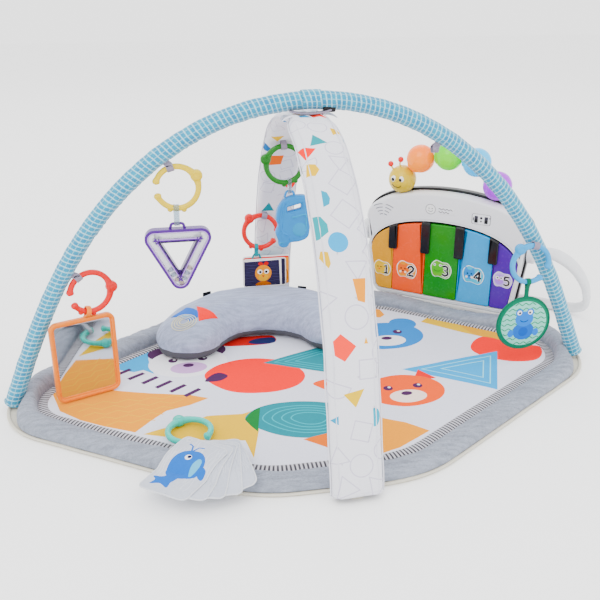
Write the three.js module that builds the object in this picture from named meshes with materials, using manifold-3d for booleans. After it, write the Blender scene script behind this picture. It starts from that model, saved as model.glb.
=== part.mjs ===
// Activity play gym: padded mat, two crossed arches, hanging toys, tummy pillow and a key piano.
// Millimetres, +Z up. X runs along the long (blue) arch, the origin is on the floor under the crossing.
import * as THREE from 'three';
import { mergeVertices } from 'three/addons/utils/BufferGeometryUtils.js';
import Module from 'manifold-3d';

const wasm = await Module();
wasm.setup();

// ---------- driving dimensions ----------
const gap = 0.3;                 // air between touching pieces

// mat, laid by hand: corner x, y and corner radius of the printed panel's edge
const matCorners = [
  [-452, -10, 64], [-112, -238, 140], [81, -238, 140],
  [464, 26, 75], [170, 262, 140], [-96, 262, 140],
];
const backingTop = 3;
const panelTop = 9;
const rimTop = 30;
const rimInner = 4;              // rim starts this far outside the panel's edge
const rimOuter = 46;
const rimRound = 10;
const backingLip = 2;
const footTabRadius = 8;

// arches (centre lines are bent rods: pinned elasticas)
const blueHalfSpan = 452;
const blueHeight = 438;
const blueEndSlope = 1.19;
const whiteHalfSpan = 316;
const whiteHeight = 411;
const whiteEndSlope = 1.34;
const whiteCentreY = 11;
const whiteYaw = 0.019;
const poleRadius = 5;
const poleBore = 3.6;
const spigotRadius = 2.6;
const sleeveBore = 9.3;
const blueSleeveRadius = 12.3;
const whiteSleeveHalfWidth = 33;
const whiteSleeveHalfThickness = 11;
const sleeveFootHeight = 8;
const poleFootHeight = 14;
const socketRadius = 8.6;
const socketBore = 6.2;
const socketLength = 40;
const crossingStrapWidth = 26;

// webbing loops and toy rings
const loopBore = 6;
const loopWall = 1.4;
const loopWidth = 9;
const ringRadius = 29.5;         // centre line of the toy ring
const ringTube = 4.3;
const knobRadius = 8.5;
const strapBore = 6.2;
const strapWall = 1.2;

// mirror
const mirrorWidth = 97;
const mirrorHeight = 127;
const mirrorDepth = 8;
const mirrorYaw = 0.38;

// bead triangle: half width and height of its sharp outline, corner radius, widths of its three rings
const triangleHalf = 56;
const triangleTall = 106;
const triangleRound = 14;
const triangleBand = 3.6;
const triangleTube = 11;
const triangleDepth = 16;

// pillow: a crescent about this centre
const pillowCentre = [-60, 58];
const pillowRadius = 148;
const pillowHalfWidth = 56;
const pillowFrom = 0.49;
const pillowTo = 2.5;
const pillowHeight = 66;

// piano: local X across its width, local Y into it, on the mat's back right side
const pianoPlace = [292, 228];
const pianoYaw = -0.663;
const frontDepth = 26;
const backDepth = 22;
const shellWall = 2.6;
const pianoMiddleZ = 122;
const pianoHalfWidth = 152;
const pianoHalfHeight = 105;
const keyEdges = [-150, -95, -32, 32, 95, 150];
const keyThickness = 7;
const sharpWidth = 17;
const sharpEnd = 112;
const hubHeight = 135;
const hubDepth = 24;
const ballRadius = 27;

// ---------- materials ----------
const paint = (color, roughness = 0.6, metalness = 0) =>
  new THREE.MeshStandardMaterial({ color, roughness, metalness });
const looks = {
  backing: paint(0xe6e2da, 0.9),
  panel: paint(0xecedf4, 0.85),
  rim: paint(0x9ba0ac, 0.9),
  blueCloth: paint(0x70bed6, 0.85),
  whiteCloth: paint(0xf1f1f4, 0.85),
  webbing: paint(0x9a9aa0, 0.9),
  black: paint(0x15161a, 0.4),
  white: paint(0xf2f2f2, 0.35),
  rod: paint(0xd9dde0, 0.4),
  yellow: paint(0xfbe52a, 0.35),
  red: paint(0xd81426, 0.35),
  green: paint(0x3f8a10, 0.35),
  cyan: paint(0x22b4e0, 0.35),
  teal: paint(0x25d8cc, 0.35),
  orange: paint(0xffa31e, 0.35),
  purple: paint(0x552d82, 0.35),
  clear: paint(0xe8f0f4, 0.1),
  mirror: paint(0xdfe3e6, 0.05, 1),
  card: paint(0xc9ccd2, 0.9),
  bookFront: paint(0x2d283c, 0.85),
  bookBack: paint(0xfab482, 0.85),
  cardGreen: paint(0x0f917c, 0.85),
  pillow: paint(0xafb9cd, 0.9),
  board: paint(0x1d6b3a, 0.5),
};
const keyColours = [0xf0be00, 0xff8700, 0x469620, 0x00b9eb, 0x501a9b];
const ballColours = [0xff9812, 0x8ee81a, 0x1cc8ec, 0xa017c8];

// ---------- solids ----------
function toSolid(geometry) {
  const bare = geometry.index ? geometry.toNonIndexed() : geometry.clone();
  bare.deleteAttribute('normal');
  bare.deleteAttribute('uv');
  const merged = mergeVertices(bare, 1e-4);
  return new wasm.Manifold(new wasm.Mesh({
    numProp: 3,
    vertProperties: new Float32Array(merged.attributes.position.array),
    triVerts: new Uint32Array(merged.index.array),
  }));
}

function toGeometry(manifold) {
  const mesh = manifold.getMesh();
  const geometry = new THREE.BufferGeometry();
  geometry.setAttribute('position', new THREE.BufferAttribute(mesh.vertProperties, 3));
  geometry.setIndex(new THREE.BufferAttribute(mesh.triVerts, 1));
  return geometry;
}

const join = (first, ...others) =>
  toGeometry(others.reduce((sum, other) => sum.add(toSolid(other)), toSolid(first)));
const cut = (first, ...others) =>
  toGeometry(others.reduce((rest, other) => rest.subtract(toSolid(other)), toSolid(first)));
const overlap = (first, second) => toGeometry(toSolid(first).intersect(toSolid(second)));

function box(x0, x1, y0, y1, z0, z1) {
  const geometry = new THREE.BoxGeometry(x1 - x0, y1 - y0, z1 - z0);
  return geometry.translate((x0 + x1) / 2, (y0 + y1) / 2, (z0 + z1) / 2);
}

function sphere(x, y, z, radius, around = 12, rows = 7) {
  return new THREE.SphereGeometry(radius, around, rows).translate(x, y, z);
}

// shape drawn in X and Y, standing from z0 to z1, with optional rounded top and bottom edges
function flat(shape, z0, z1, round = 0, curveSegments = 3, bevelSegments = 2) {
  const bevel = Math.min(round, (z1 - z0) / 2 - 0.1);
  const geometry = new THREE.ExtrudeGeometry(shape, {
    depth: z1 - z0 - 2 * bevel,
    bevelEnabled: round > 0,
    bevelThickness: bevel,
    bevelSize: round,
    bevelOffset: -round,
    bevelSegments,
    curveSegments,
  });
  return geometry.translate(0, 0, z0 + bevel);
}

// shape drawn in X and Z, reaching from y0 back to y1
function upright(shape, y0, y1, round = 0, curveSegments = 3) {
  return flat(shape, -y1, -y0, round, curveSegments).rotateX(Math.PI / 2);
}

// bar or ring section drawn in Y and Z, reaching from x0 to x1
function sideways(shape, x0, x1, curveSegments = 4) {
  return flat(shape, x0, x1, 0, curveSegments).rotateX(Math.PI / 2).rotateZ(Math.PI / 2);
}

// ---------- outlines ----------
// polygon with rounded corners [x, y, radius], counterclockwise, pushed outward by offset
function roundedOutline(corners, offset = 0, PathType = THREE.Shape) {
  const count = corners.length;
  const edges = corners.map(([x, y], i) => {
    const [nextX, nextY] = corners[(i + 1) % count];
    const direction = new THREE.Vector2(nextX - x, nextY - y).normalize();
    const outward = new THREE.Vector2(direction.y, -direction.x);
    return { direction, outward, start: new THREE.Vector2(x, y).addScaledVector(outward, offset) };
  });
  const path = new PathType();
  corners.forEach(([, , cornerRadius], i) => {
    const before = edges[(i + count - 1) % count];
    const after = edges[i];
    const between = after.start.clone().sub(before.start);
    const reach = between.cross(after.direction) / before.direction.cross(after.direction);
    const corner = before.start.clone().addScaledVector(before.direction, reach);
    const radius = Math.max(cornerRadius + offset, 0.5);
    const turn = Math.acos(before.direction.dot(after.direction));
    const setback = radius * Math.tan(turn / 2);
    const centre = corner.clone()
      .addScaledVector(before.direction, -setback)
      .addScaledVector(before.outward, -radius);
    const startAngle = Math.atan2(before.outward.y, before.outward.x);
    path.absarc(centre.x, centre.y, radius, startAngle, startAngle + turn, false);
  });
  path.closePath();
  return path;
}

function withHole(outer, hole) {
  outer.holes.push(hole);
  return outer;
}

function disc(radius, x = 0, y = 0, PathType = THREE.Shape) {
  const path = new PathType();
  path.absarc(x, y, radius, 0, Math.PI * 2, false);
  return path;
}

const washer = (outer, inner) => withHole(disc(outer), disc(inner, 0, 0, THREE.Path));

function rectangleCorners(width, height, radius, x = 0, y = 0) {
  const w = width / 2;
  const h = height / 2;
  return [[x - w, y - h, radius], [x + w, y - h, radius], [x + w, y + h, radius], [x - w, y + h, radius]];
}

// ---------- curves ----------
// a springy rod pushed together at its ends: its curvature grows with its height above them
class BentRod extends THREE.Curve {
  constructor(halfSpan, height, endSlope, steps = 400) {
    super();
    const modulus = Math.sin(endSlope / 2);
    const raw = [];
    let x = 0;
    let z = 0;
    for (let i = 0; i <= steps; i += 1) {
      const phase = -Math.PI / 2 + Math.PI * i / steps;
      const slope = -2 * Math.asin(modulus * Math.sin(phase));
      const pace = 1 / Math.sqrt(1 - (modulus * Math.sin(phase)) ** 2);
      raw.push([x, z]);
      x += Math.cos(slope) * pace;
      z += Math.sin(slope) * pace;
    }
    const wide = raw[steps][0];
    const tall = raw[steps / 2][1];
    this.points = raw.map(([rx, rz]) => [(2 * rx / wide - 1) * halfSpan, rz / tall * height]);
  }

  getPoint(t, target = new THREE.Vector3()) {
    const place = t * (this.points.length - 1);
    const index = Math.min(Math.floor(place), this.points.length - 2);
    const [x0, z0] = this.points[index];
    const [x1, z1] = this.points[index + 1];
    const part = place - index;
    return target.set(x0 + (x1 - x0) * part, 0, z0 + (z1 - z0) * part);
  }

  // share of the length at which the rod first reaches a height
  shareAtHeight(height) {
    let share = 0;
    while (this.getPointAt(share).z < height) share += 0.0005;
    return share;
  }
}

class Stretch extends THREE.Curve {
  constructor(whole, from, to) {
    super();
    Object.assign(this, { whole, from, to });
  }

  getPoint(t, target = new THREE.Vector3()) {
    return target.copy(this.whole.getPointAt(this.from + (this.to - this.from) * t));
  }
}

class UprightArc extends THREE.Curve {
  constructor(radius, from, to) {
    super();
    Object.assign(this, { radius, from, to });
  }

  getPoint(t, target = new THREE.Vector3()) {
    const angle = this.from + (this.to - this.from) * t;
    return target.set(this.radius * Math.cos(angle), 0, this.radius * Math.sin(angle));
  }
}

const sweep = (section, path, steps, curveSegments = 3) =>
  new THREE.ExtrudeGeometry(section, { steps, curveSegments, extrudePath: path });

// ---------- the group ----------
const gym = new THREE.Group();

function add(name, geometry, material, parent = gym) {
  const mesh = new THREE.Mesh(geometry, material);
  mesh.name = name;
  parent.add(mesh);
  return mesh;
}

function frameAt(x, y, z, yaw = 0, parent = gym) {
  const group = new THREE.Group();
  group.position.set(x, y, z);
  group.rotation.z = yaw;
  parent.add(group);
  return group;
}

// ---------- arches ----------
const blueRod = new BentRod(blueHalfSpan, blueHeight, blueEndSlope);
const whiteRod = new BentRod(whiteHalfSpan, whiteHeight, whiteEndSlope);
const blueArch = frameAt(0, 0, 0);
// the white rod's own +X points to the back of the gym
const whiteArch = frameAt(-6.5, whiteCentreY, 0, Math.PI / 2 + whiteYaw);

function addArch(parent, rod, names, sleeveSection, sleeveLook) {
  const foot = rod.shareAtHeight(poleFootHeight);
  const sleeveFoot = rod.shareAtHeight(sleeveFootHeight);
  const first = sweep(disc(poleRadius), new Stretch(rod, foot, 0.498), 16);
  const spigot = sweep(disc(spigotRadius), new Stretch(rod, 0.47, 0.535), 3);
  add(names.first, join(first, spigot), looks.rod, parent);
  const second = sweep(washer(poleRadius, poleBore), new Stretch(rod, 0.502, 1 - foot), 16);
  add(names.second, second, looks.rod, parent);
  const sleevePath = new Stretch(rod, sleeveFoot, 1 - sleeveFoot);
  add(names.sleeve, sweep(sleeveSection, sleevePath, 28, 4), sleeveLook, parent);
  names.sockets.forEach((name, i) => {
    const end = rod.getPointAt(i === 0 ? foot : 1 - foot);
    const side = i === 0 ? 1 : -1;
    const tangent = rod.getTangentAt(foot);
    const lean = Math.atan2(tangent.x, tangent.z) * side;
    const cup = cut(
      flat(disc(socketRadius), -4, socketLength - 4),
      flat(disc(socketBore), -gap - 0.5, socketLength),
    );
    cup.rotateY(lean).translate(end.x, 0, end.z);
    add(name, cup, looks.black, parent);
  });
}

const blueSection = washer(blueSleeveRadius, sleeveBore);
const whiteOuter = new THREE.Shape();
whiteOuter.absellipse(0, 0, whiteSleeveHalfWidth, whiteSleeveHalfThickness, 0, Math.PI * 2, false, 0);
const whiteSection = withHole(whiteOuter, disc(sleeveBore, 0, 0, THREE.Path));

addArch(blueArch, blueRod, {
  first: 'blue_pole_left', second: 'blue_pole_right', sleeve: 'blue_sleeve',
  sockets: ['socket_left', 'socket_right'],
}, blueSection, looks.blueCloth);
addArch(whiteArch, whiteRod, {
  first: 'white_pole_front', second: 'white_pole_rear', sleeve: 'white_sleeve',
  sockets: ['socket_front', 'socket_rear'],
}, whiteSection, looks.whiteCloth);

const strapInner = blueSleeveRadius + 1.7;
const crossingBand = sideways(
  withHole(disc(strapInner + 1.4, 0, blueHeight), disc(strapInner, 0, blueHeight, THREE.Path)),
  -crossingStrapWidth / 2, crossingStrapWidth / 2,
);
add('crossing_strap', crossingBand, looks.blueCloth);

// ---------- mat ----------
function footPoints() {
  const along = blueRod.getPointAt(blueRod.shareAtHeight(poleFootHeight)).x;
  const across = whiteRod.getPointAt(whiteRod.shareAtHeight(poleFootHeight)).x;
  whiteArch.updateMatrixWorld(true);
  const front = new THREE.Vector3(across, 0, 0).applyMatrix4(whiteArch.matrixWorld);
  const rear = new THREE.Vector3(-across, 0, 0).applyMatrix4(whiteArch.matrixWorld);
  return [[along, 0], [-along, 0], [front.x, front.y], [rear.x, rear.y]];
}
const feet = footPoints();

// each socket stands on a short tongue of the backing
const tongues = feet.map(([x, y]) => {
  const tongue = box(-footTabRadius, footTabRadius, 0, 60, 0, backingTop);
  return tongue.rotateZ(Math.atan2(y, x) + Math.PI / 2).translate(x, y, 0);
});
const backingOutline = roundedOutline(matCorners, rimOuter + backingLip);
add('mat_backing', join(flat(backingOutline, 0, backingTop), ...tongues), looks.backing);
add('mat_panel', flat(roundedOutline(matCorners, rimInner - 1), backingTop + gap, panelTop), looks.panel);

const rimShape = withHole(
  roundedOutline(matCorners, rimOuter),
  roundedOutline(matCorners, rimInner, THREE.Path),
);
const rimNotches = feet.slice(0, 2).map(([x, y]) => {
  const notch = flat(disc(blueSleeveRadius + 4), 0, 2 * rimTop, 0, 4);
  return notch.scale(1.4, 1, 1).translate(x + Math.sign(x) * 2, y, 0);
});
const rimSolid = flat(rimShape, backingTop + gap, rimTop, rimRound);
add('mat_rim', cut(rimSolid, ...rimNotches), looks.rim);

// ---------- webbing loops and toy rings ----------
// loop and ring share a frame whose origin is the point where the ring hangs in the loop;
// hangAngle is that point's angle on the ring, seen from the ring's centre
function addLoop(name, parent, hangAngle) {
  const band = sideways(washer(loopBore + loopWall, loopBore), -loopWidth / 2, loopWidth / 2, 4);
  band.rotateY(Math.PI / 2 - hangAngle);
  add(name, band, looks.webbing, parent);
}

function ringCentre(hangAngle) {
  return [-ringRadius * Math.cos(hangAngle), -ringRadius * Math.sin(hangAngle)];
}

function ringGeometry(gapAngle, knobAngle, halfGap = 0.2) {
  const arc = new UprightArc(ringRadius, gapAngle + halfGap, gapAngle + Math.PI * 2 - halfGap);
  const link = sweep(disc(ringTube), arc, 14);
  const knobReach = ringRadius + 2;
  const knob = sphere(knobReach * Math.cos(knobAngle), 0, knobReach * Math.sin(knobAngle), knobRadius, 8, 5);
  return join(link, knob);
}

function addRing(name, look, parent, hangAngle, gapAngle, knobAngle) {
  const [x, z] = ringCentre(hangAngle);
  add(name, ringGeometry(gapAngle, knobAngle).translate(x, 0, z), look, parent);
  return { x, z };
}

// closed strap from a ring's tube at the origin down to a bar at drop below it
function strapGeometry(drop, width = 8) {
  const stadium = (radius, PathType) => {
    const path = new PathType();
    path.absarc(0, 0, radius, 0, Math.PI, false);
    path.absarc(0, -drop, radius, Math.PI, Math.PI * 2, false);
    path.closePath();
    return path;
  };
  const section = withHole(stadium(strapBore + strapWall, THREE.Shape), stadium(strapBore, THREE.Path));
  return sideways(section, -width / 2, width / 2, 4);
}

// staple whose bar hangs in the strap's lower bend; legs reach down to a toy
function stapleGeometry(barZ, bottomZ) {
  return join(
    box(-8.5, 8.5, -1.8, 1.8, barZ - 1.8, barZ + 1.8),
    box(-8.5, -5, -1.8, 1.8, bottomZ, barZ + 1.8),
    box(5, 8.5, -1.8, 1.8, bottomZ, barZ + 1.8),
  );
}

const degrees = (angle) => angle * Math.PI / 180;

// ---------- mirror ----------
const mirrorHang = degrees(122);
const mirrorToy = frameAt(-335, 0, 200, mirrorYaw);
addLoop('loop_mirror', mirrorToy, mirrorHang);
const mirrorRing = addRing('mirror_ring', looks.red, mirrorToy, mirrorHang, degrees(192), degrees(4));
const mirrorEye = degrees(-104);
const eyeX = mirrorRing.x + ringRadius * Math.cos(mirrorEye);
const eyeZ = mirrorRing.z + ringRadius * Math.sin(mirrorEye);
const mirrorTop = eyeZ - 8;
const mirrorCorners = rectangleCorners(mirrorWidth, mirrorHeight, 12, -2, mirrorTop - mirrorHeight / 2);
const eyelet = sideways(washer(8.2, 6), -3.5, 3.5, 4);
eyelet.rotateY(-mirrorEye - Math.PI / 2).translate(eyeX, 0, eyeZ);
const mirrorSlab = upright(roundedOutline(mirrorCorners), -mirrorDepth / 2, mirrorDepth / 2, 1.5, 2);
const mirrorPocket = upright(roundedOutline(mirrorCorners, -5), -mirrorDepth, mirrorDepth / 2 - 2.4, 0, 2);
add('mirror_frame', join(cut(mirrorSlab, mirrorPocket), eyelet), looks.orange, mirrorToy);
const plateBack = mirrorDepth / 2 - 2.4 - gap;
add('mirror_plate', upright(roundedOutline(mirrorCorners, -5.4), plateBack - 2.4, plateBack, 0, 2),
  looks.mirror, mirrorToy);

// ---------- bead triangle ----------
const triangleHang = degrees(106);
const triangleToy = frameAt(-197, 0, 352);
addLoop('loop_triangle', triangleToy, triangleHang);
const triangleRing = addRing('triangle_ring', looks.yellow, triangleToy, triangleHang, degrees(182), degrees(30));
const trianglePart = frameAt(triangleRing.x - 3, 0, triangleRing.z - ringRadius, 0, triangleToy);
const triangleStrapDrop = 18;
add('triangle_strap', strapGeometry(triangleStrapDrop), looks.clear, trianglePart);
const triangleBar = -triangleStrapDrop - strapBore + 1.8 + 0.4;
const triangleTop = triangleBar - 7;
const triangleCorners = [
  [0, triangleTop - triangleTall, triangleRound],
  [triangleHalf, triangleTop, triangleRound],
  [-triangleHalf, triangleTop, triangleRound],
];
function triangleBandGeometry(from, to, halfDepth) {
  const outline = withHole(
    roundedOutline(triangleCorners, -from),
    roundedOutline(triangleCorners, -to, THREE.Path),
  );
  return upright(outline, -halfDepth, halfDepth, 0, 3);
}
const tubeFrom = triangleBand + gap;
const tubeTo = tubeFrom + triangleTube;
const outerBand = triangleBandGeometry(0, triangleBand, triangleDepth / 2);
add('triangle_outer_frame', join(outerBand, stapleGeometry(triangleBar, triangleTop - 2)),
  looks.purple, trianglePart);
add('triangle_tube', triangleBandGeometry(tubeFrom, tubeTo, triangleDepth / 2 - 2), looks.clear, trianglePart);
add('triangle_inner_frame',
  triangleBandGeometry(tubeTo + gap, tubeTo + gap + triangleBand, triangleDepth / 2), looks.purple, trianglePart);

// ---------- spare loop ----------
addLoop('loop_spare', frameAt(181.5, 0, 363), degrees(90));

// ---------- round card ----------
const roundHang = degrees(80);
const roundToy = frameAt(346, -21, 212);
addLoop('loop_round_card', roundToy, roundHang);
const roundRing = addRing('round_card_ring', looks.cyan, roundToy, roundHang, degrees(-32), degrees(128));
const cardRadius = 45;
const cardPart = frameAt(roundRing.x - 1, 0, roundRing.z - ringRadius, 0, roundToy);
const cardCentreZ = -25 - cardRadius;
add('round_card', join(
  upright(disc(cardRadius, 0, cardCentreZ), -3, 3, 2, 10),
  sideways(washer(8, 6), -4, 4, 4),
  box(-4, 4, -1.2, 1.2, -28, -7),
), looks.cardGreen, cardPart);

// ---------- teether ----------
const teetherHang = degrees(92);
const teetherToy = frameAt(-15, 146.8, 344);
addLoop('loop_teether', teetherToy, teetherHang);
const teetherRing = addRing('teether_ring', looks.green, teetherToy, teetherHang, degrees(4), degrees(163));
const teetherHook = degrees(-74);
const teetherPart = frameAt(
  teetherRing.x + ringRadius * Math.cos(teetherHook), 0,
  teetherRing.z + ringRadius * Math.sin(teetherHook), 0, teetherToy,
);
const teetherStrapDrop = 12;
add('teether_strap', strapGeometry(teetherStrapDrop, 6), looks.clear, teetherPart);
const teetherBar = -teetherStrapDrop - strapBore + 1.8 + 0.4;
const teetherTop = teetherBar - 6.5;
const teetherWidth = 54;
const teetherTall = 84;
const teetherSlab = upright(roundedOutline([
  [-teetherWidth / 2 + 5, teetherTop - teetherTall, 16],
  [teetherWidth / 2 + 5, teetherTop - teetherTall + 14, 16],
  [teetherWidth / 2 + 2, teetherTop, 14],
  [-teetherWidth / 2 + 14, teetherTop, 20],
  [-teetherWidth / 2 + 3, teetherTop - 32, 20],
]), -8, 8, 4, 3);
const teetherSlot = upright(roundedOutline(rectangleCorners(22, 8, 3.5, 7, teetherTop - 20)), -10, 10, 0, 2);
add('teether_body', join(cut(teetherSlab, teetherSlot), stapleGeometry(teetherBar, teetherTop - 3)),
  looks.cyan, teetherPart);

// ---------- cloth book ----------
const bookHang = degrees(76);
const bookToy = frameAt(-33, 256, 198);
addLoop('loop_book', bookToy, bookHang);
const bookRing = addRing('book_ring', looks.red, bookToy, bookHang, degrees(-18), degrees(128));
const bookHook = degrees(-106);
const bookPart = frameAt(
  bookRing.x + ringRadius * Math.cos(bookHook), 0, bookRing.z + ringRadius * Math.sin(bookHook), 0, bookToy,
);
const bookStrapDrop = 10;
const bookBar = -bookStrapDrop - strapBore + 1.8 + 0.4;
const bookTop = bookBar - 6;
add('book_strap', strapGeometry(bookStrapDrop, 6), looks.teal, bookPart);
const bookWidth = 76;
const bookTall = 55;
const bookSpineX = -24;
const backPage = upright(
  roundedOutline(rectangleCorners(bookWidth + 8, bookTall, 4, bookSpineX + bookWidth / 2 + 4, bookTop - bookTall / 2)),
  -1.5, 6.5, 1, 2,
);
add('book_back', join(backPage, stapleGeometry(bookBar, bookTop - 3)), looks.bookBack, bookPart);
const frontPage = upright(
  roundedOutline(rectangleCorners(bookWidth, bookTall - 3, 4, bookSpineX + bookWidth / 2, bookTop - bookTall / 2 - 1)),
  -6.4, -2.1, 1, 2,
);
add('book_front', frontPage, looks.bookFront, bookPart);

// ---------- ring of crinkle cards lying on the front left of the rim ----------
const cardsPlace = [-190, -186];
const cardSheet = 1.6;
const cardsBase = rimTop + 0.6;
const cardsRingPlace = [-196, -138, panelTop + knobRadius + gap];
const cardsRing = ringGeometry(degrees(-60), degrees(115));
cardsRing.rotateX(-Math.PI / 2);
add('cards_ring', cardsRing, looks.teal, frameAt(...cardsRingPlace));
function cardOutline(turn) {
  const corners = [[-12, -104, 10], [56, -104, 10], [56, 8, 10], [-12, 8, 10]].map(([x, y, radius]) => [
    x * Math.cos(turn) - y * Math.sin(turn),
    x * Math.sin(turn) + y * Math.cos(turn),
    radius,
  ]);
  return withHole(roundedOutline(corners), disc(4, 0, 0, THREE.Path));
}
const cardsFrame = frameAt(cardsPlace[0], cardsPlace[1], 0);
const fanTurns = [0.14, -0.05, -0.25, -0.44];
const fanSheets = fanTurns.map((turn, i) =>
  flat(cardOutline(turn), cardsBase + i * cardSheet * 0.8, cardsBase + (i + 1) * cardSheet * 0.8 + 0.3, 0, 2));
// a sewn tab slants down from the fan's corner and holds the ring
const tabReach = 10.5;
const tabRise = 9.6;
const cardTab = strapGeometry(Math.hypot(tabReach, tabRise)).rotateX(Math.atan2(tabReach, tabRise)).translate(
  cardsRingPlace[0] - cardsPlace[0],
  cardsRingPlace[1] - ringRadius - cardsPlace[1] - tabReach,
  cardsRingPlace[2] + tabRise,
);
add('card_fan', join(...fanSheets, cardTab), looks.card, cardsFrame);
const topCardZ = cardsBase + 4 * cardSheet * 0.8 + 0.3 + gap;
add('card_top', flat(cardOutline(-0.64), topCardZ, topCardZ + cardSheet, 0, 2), looks.card, cardsFrame);

// ---------- pillow ----------
function crescent(inset) {
  const outer = pillowRadius + pillowHalfWidth - inset;
  const inner = pillowRadius - pillowHalfWidth + inset;
  const shape = new THREE.Shape();
  const end = (angle) => [pillowRadius * Math.cos(angle), pillowRadius * Math.sin(angle)];
  const [fromX, fromY] = end(pillowFrom);
  const [toX, toY] = end(pillowTo);
  shape.absarc(0, 0, outer, pillowFrom, pillowTo, false);
  shape.absarc(toX, toY, pillowHalfWidth - inset, pillowTo, pillowTo + Math.PI, false);
  shape.absarc(0, 0, inner, pillowTo, pillowFrom, true);
  shape.absarc(fromX, fromY, pillowHalfWidth - inset, pillowFrom + Math.PI, pillowFrom + Math.PI * 2, false);
  return shape;
}
const pillowBase = panelTop + gap;
const pillowBody = flat(crescent(0), pillowBase, pillowBase + pillowHeight, 38, 5, 3);
const rimSpace = flat(withHole(
  roundedOutline(matCorners, 2 * rimOuter),
  roundedOutline(matCorners, rimInner - 1, THREE.Path),
), 0, rimTop + 2 * gap).translate(-pillowCentre[0], -pillowCentre[1], 0);
add('pillow', cut(pillowBody, rimSpace), looks.pillow, frameAt(pillowCentre[0], pillowCentre[1], 0));

// ---------- piano ----------
const piano = frameAt(pianoPlace[0], pianoPlace[1], 0, pianoYaw);

// rounded trapezium with a bowed top, seen from the front; grow makes it larger all round
function caseOutline(grow) {
  const scaleX = (pianoHalfWidth + grow) / pianoHalfWidth;
  const scaleZ = (pianoHalfHeight + grow) / pianoHalfHeight;
  const x = (value) => value * scaleX;
  const z = (value) => pianoMiddleZ + (value - pianoMiddleZ) * scaleZ;
  const shape = new THREE.Shape();
  shape.moveTo(x(-116), z(17));
  shape.lineTo(x(116), z(17));
  shape.quadraticCurveTo(x(132), z(17), x(134), z(33));
  shape.lineTo(x(152), z(165));
  shape.bezierCurveTo(x(157), z(205), x(80), z(227), x(0), z(227));
  shape.bezierCurveTo(x(-80), z(227), x(-157), z(205), x(-152), z(165));
  shape.lineTo(x(-134), z(33));
  shape.quadraticCurveTo(x(-132), z(17), x(-116), z(17));
  return shape;
}

// key window, inset by side all round and by top more at its upper edge
function windowOutline(side, top, PathType = THREE.Shape) {
  const path = new PathType();
  const low = 27 + side;
  const high = 174 - top;
  path.moveTo(-116, low);
  path.lineTo(116, low);
  path.quadraticCurveTo(129 - side, low, 130 - side, low + 14);
  path.lineTo(141 - side, 105);
  path.bezierCurveTo(141 - side, 150 - top, 80, high, 0, high);
  path.bezierCurveTo(-80, high, -141 + side, 150 - top, -141 + side, 105);
  path.lineTo(-130 + side, low + 14);
  path.quadraticCurveTo(-129 + side, low, -116, low);
  return path;
}

const switchXs = [58, 76];
const switchZ = 190;
const switchTravel = 5;
const frontSolid = cut(
  upright(caseOutline(0), 0, frontDepth, 3, 4),
  upright(caseOutline(-shellWall), shellWall, frontDepth + 5, 0, 4),
  upright(windowOutline(0, 0), -5, frontDepth, 0, 5),
  ...switchXs.map((x) => box(x - 3, x + 3, -5, 8, switchZ - 6, switchZ + 6)),
);
add('piano_front_shell', frontSolid, looks.white, piano);

const backFront = frontDepth + gap;
const backEnd = frontDepth + backDepth;
const batteryDoor = [-46, 46, 60, 120];
const backSolid = cut(
  upright(caseOutline(4), backFront, backEnd, 3, 4),
  upright(caseOutline(4 - shellWall - 2), backFront - 5, backEnd - shellWall, 0, 4),
  box(batteryDoor[0], batteryDoor[1], backEnd - 5, backEnd + 5, batteryDoor[2], batteryDoor[3]),
);
add('piano_back_shell', backSolid, looks.black, piano);
add('battery_door', box(
  batteryDoor[0] + gap, batteryDoor[1] - gap, backEnd - shellWall, backEnd,
  batteryDoor[2] + gap, batteryDoor[3] - gap,
), looks.black, piano);

// keys hang from hinges at their upper ends and move inward
const keyFront = -1;
const keyPlate = upright(windowOutline(1.2, 5), keyFront, keyFront + keyThickness, 0, 5);
for (let i = 0; i < 5; i += 1) {
  const left = keyEdges[i] + gap;
  const right = keyEdges[i + 1] - gap;
  const strip = box(left, right, -20, 20, 0, 200);
  const look = paint(keyColours[i], 0.35);
  add(`key_${i + 1}`, overlap(keyPlate, strip), look, piano);
}

// the sharps are one moulding: four blocks hanging from a thin comb along the window's top
const combRing = withHole(windowOutline(0.4, 0.4), windowOutline(0.8, 4, THREE.Path));
const comb = overlap(upright(combRing, -1, 2, 0, 5), box(-107, 107, -5, 5, 140, 200));
const sharpTop = (x) => (Math.abs(x) > 60 ? 158 : 170);
const sharps = [-95, -32, 32, 95].map((x) => {
  const half = sharpWidth / 2;
  const block = box(x - half, x + half, -7, keyFront - 0.4, sharpEnd, sharpTop(x));
  const neck = box(x - half, x + half, -7, 0, sharpTop(x) - 1, sharpTop(x) + 30);
  const trim = overlap(neck, upright(windowOutline(0.4, 0.4), -8, 1, 0, 5));
  return join(block, cut(trim, upright(windowOutline(0.7, 4.7), keyFront - 0.4, 8, 0, 5)));
});
add('sharps', join(comb, ...sharps), looks.black, piano);

// switches slide up and down in the slots above the keys
const switchNames = ['switch_volume', 'switch_mode'];
switchXs.forEach((x, i) => {
  const knob = join(
    box(x - 2.6, x + 2.6, -2.5, 6, switchZ - 5.6, switchZ - 5.6 + 5.4),
    box(x - 4.5, x + 4.5, shellWall + gap, 6, switchZ - 7, switchZ + 1),
  );
  add(switchNames[i], knob, looks.black, piano);
});

add('circuit_board', box(-100, 100, 18, 19.6, 40, 160), looks.board, piano);
const speakerCone = flat(disc(17), 0, 9, 0, 6).rotateX(-Math.PI / 2).translate(-106, 3.4, 188);
add('speaker', speakerCone, looks.black, piano);

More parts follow.
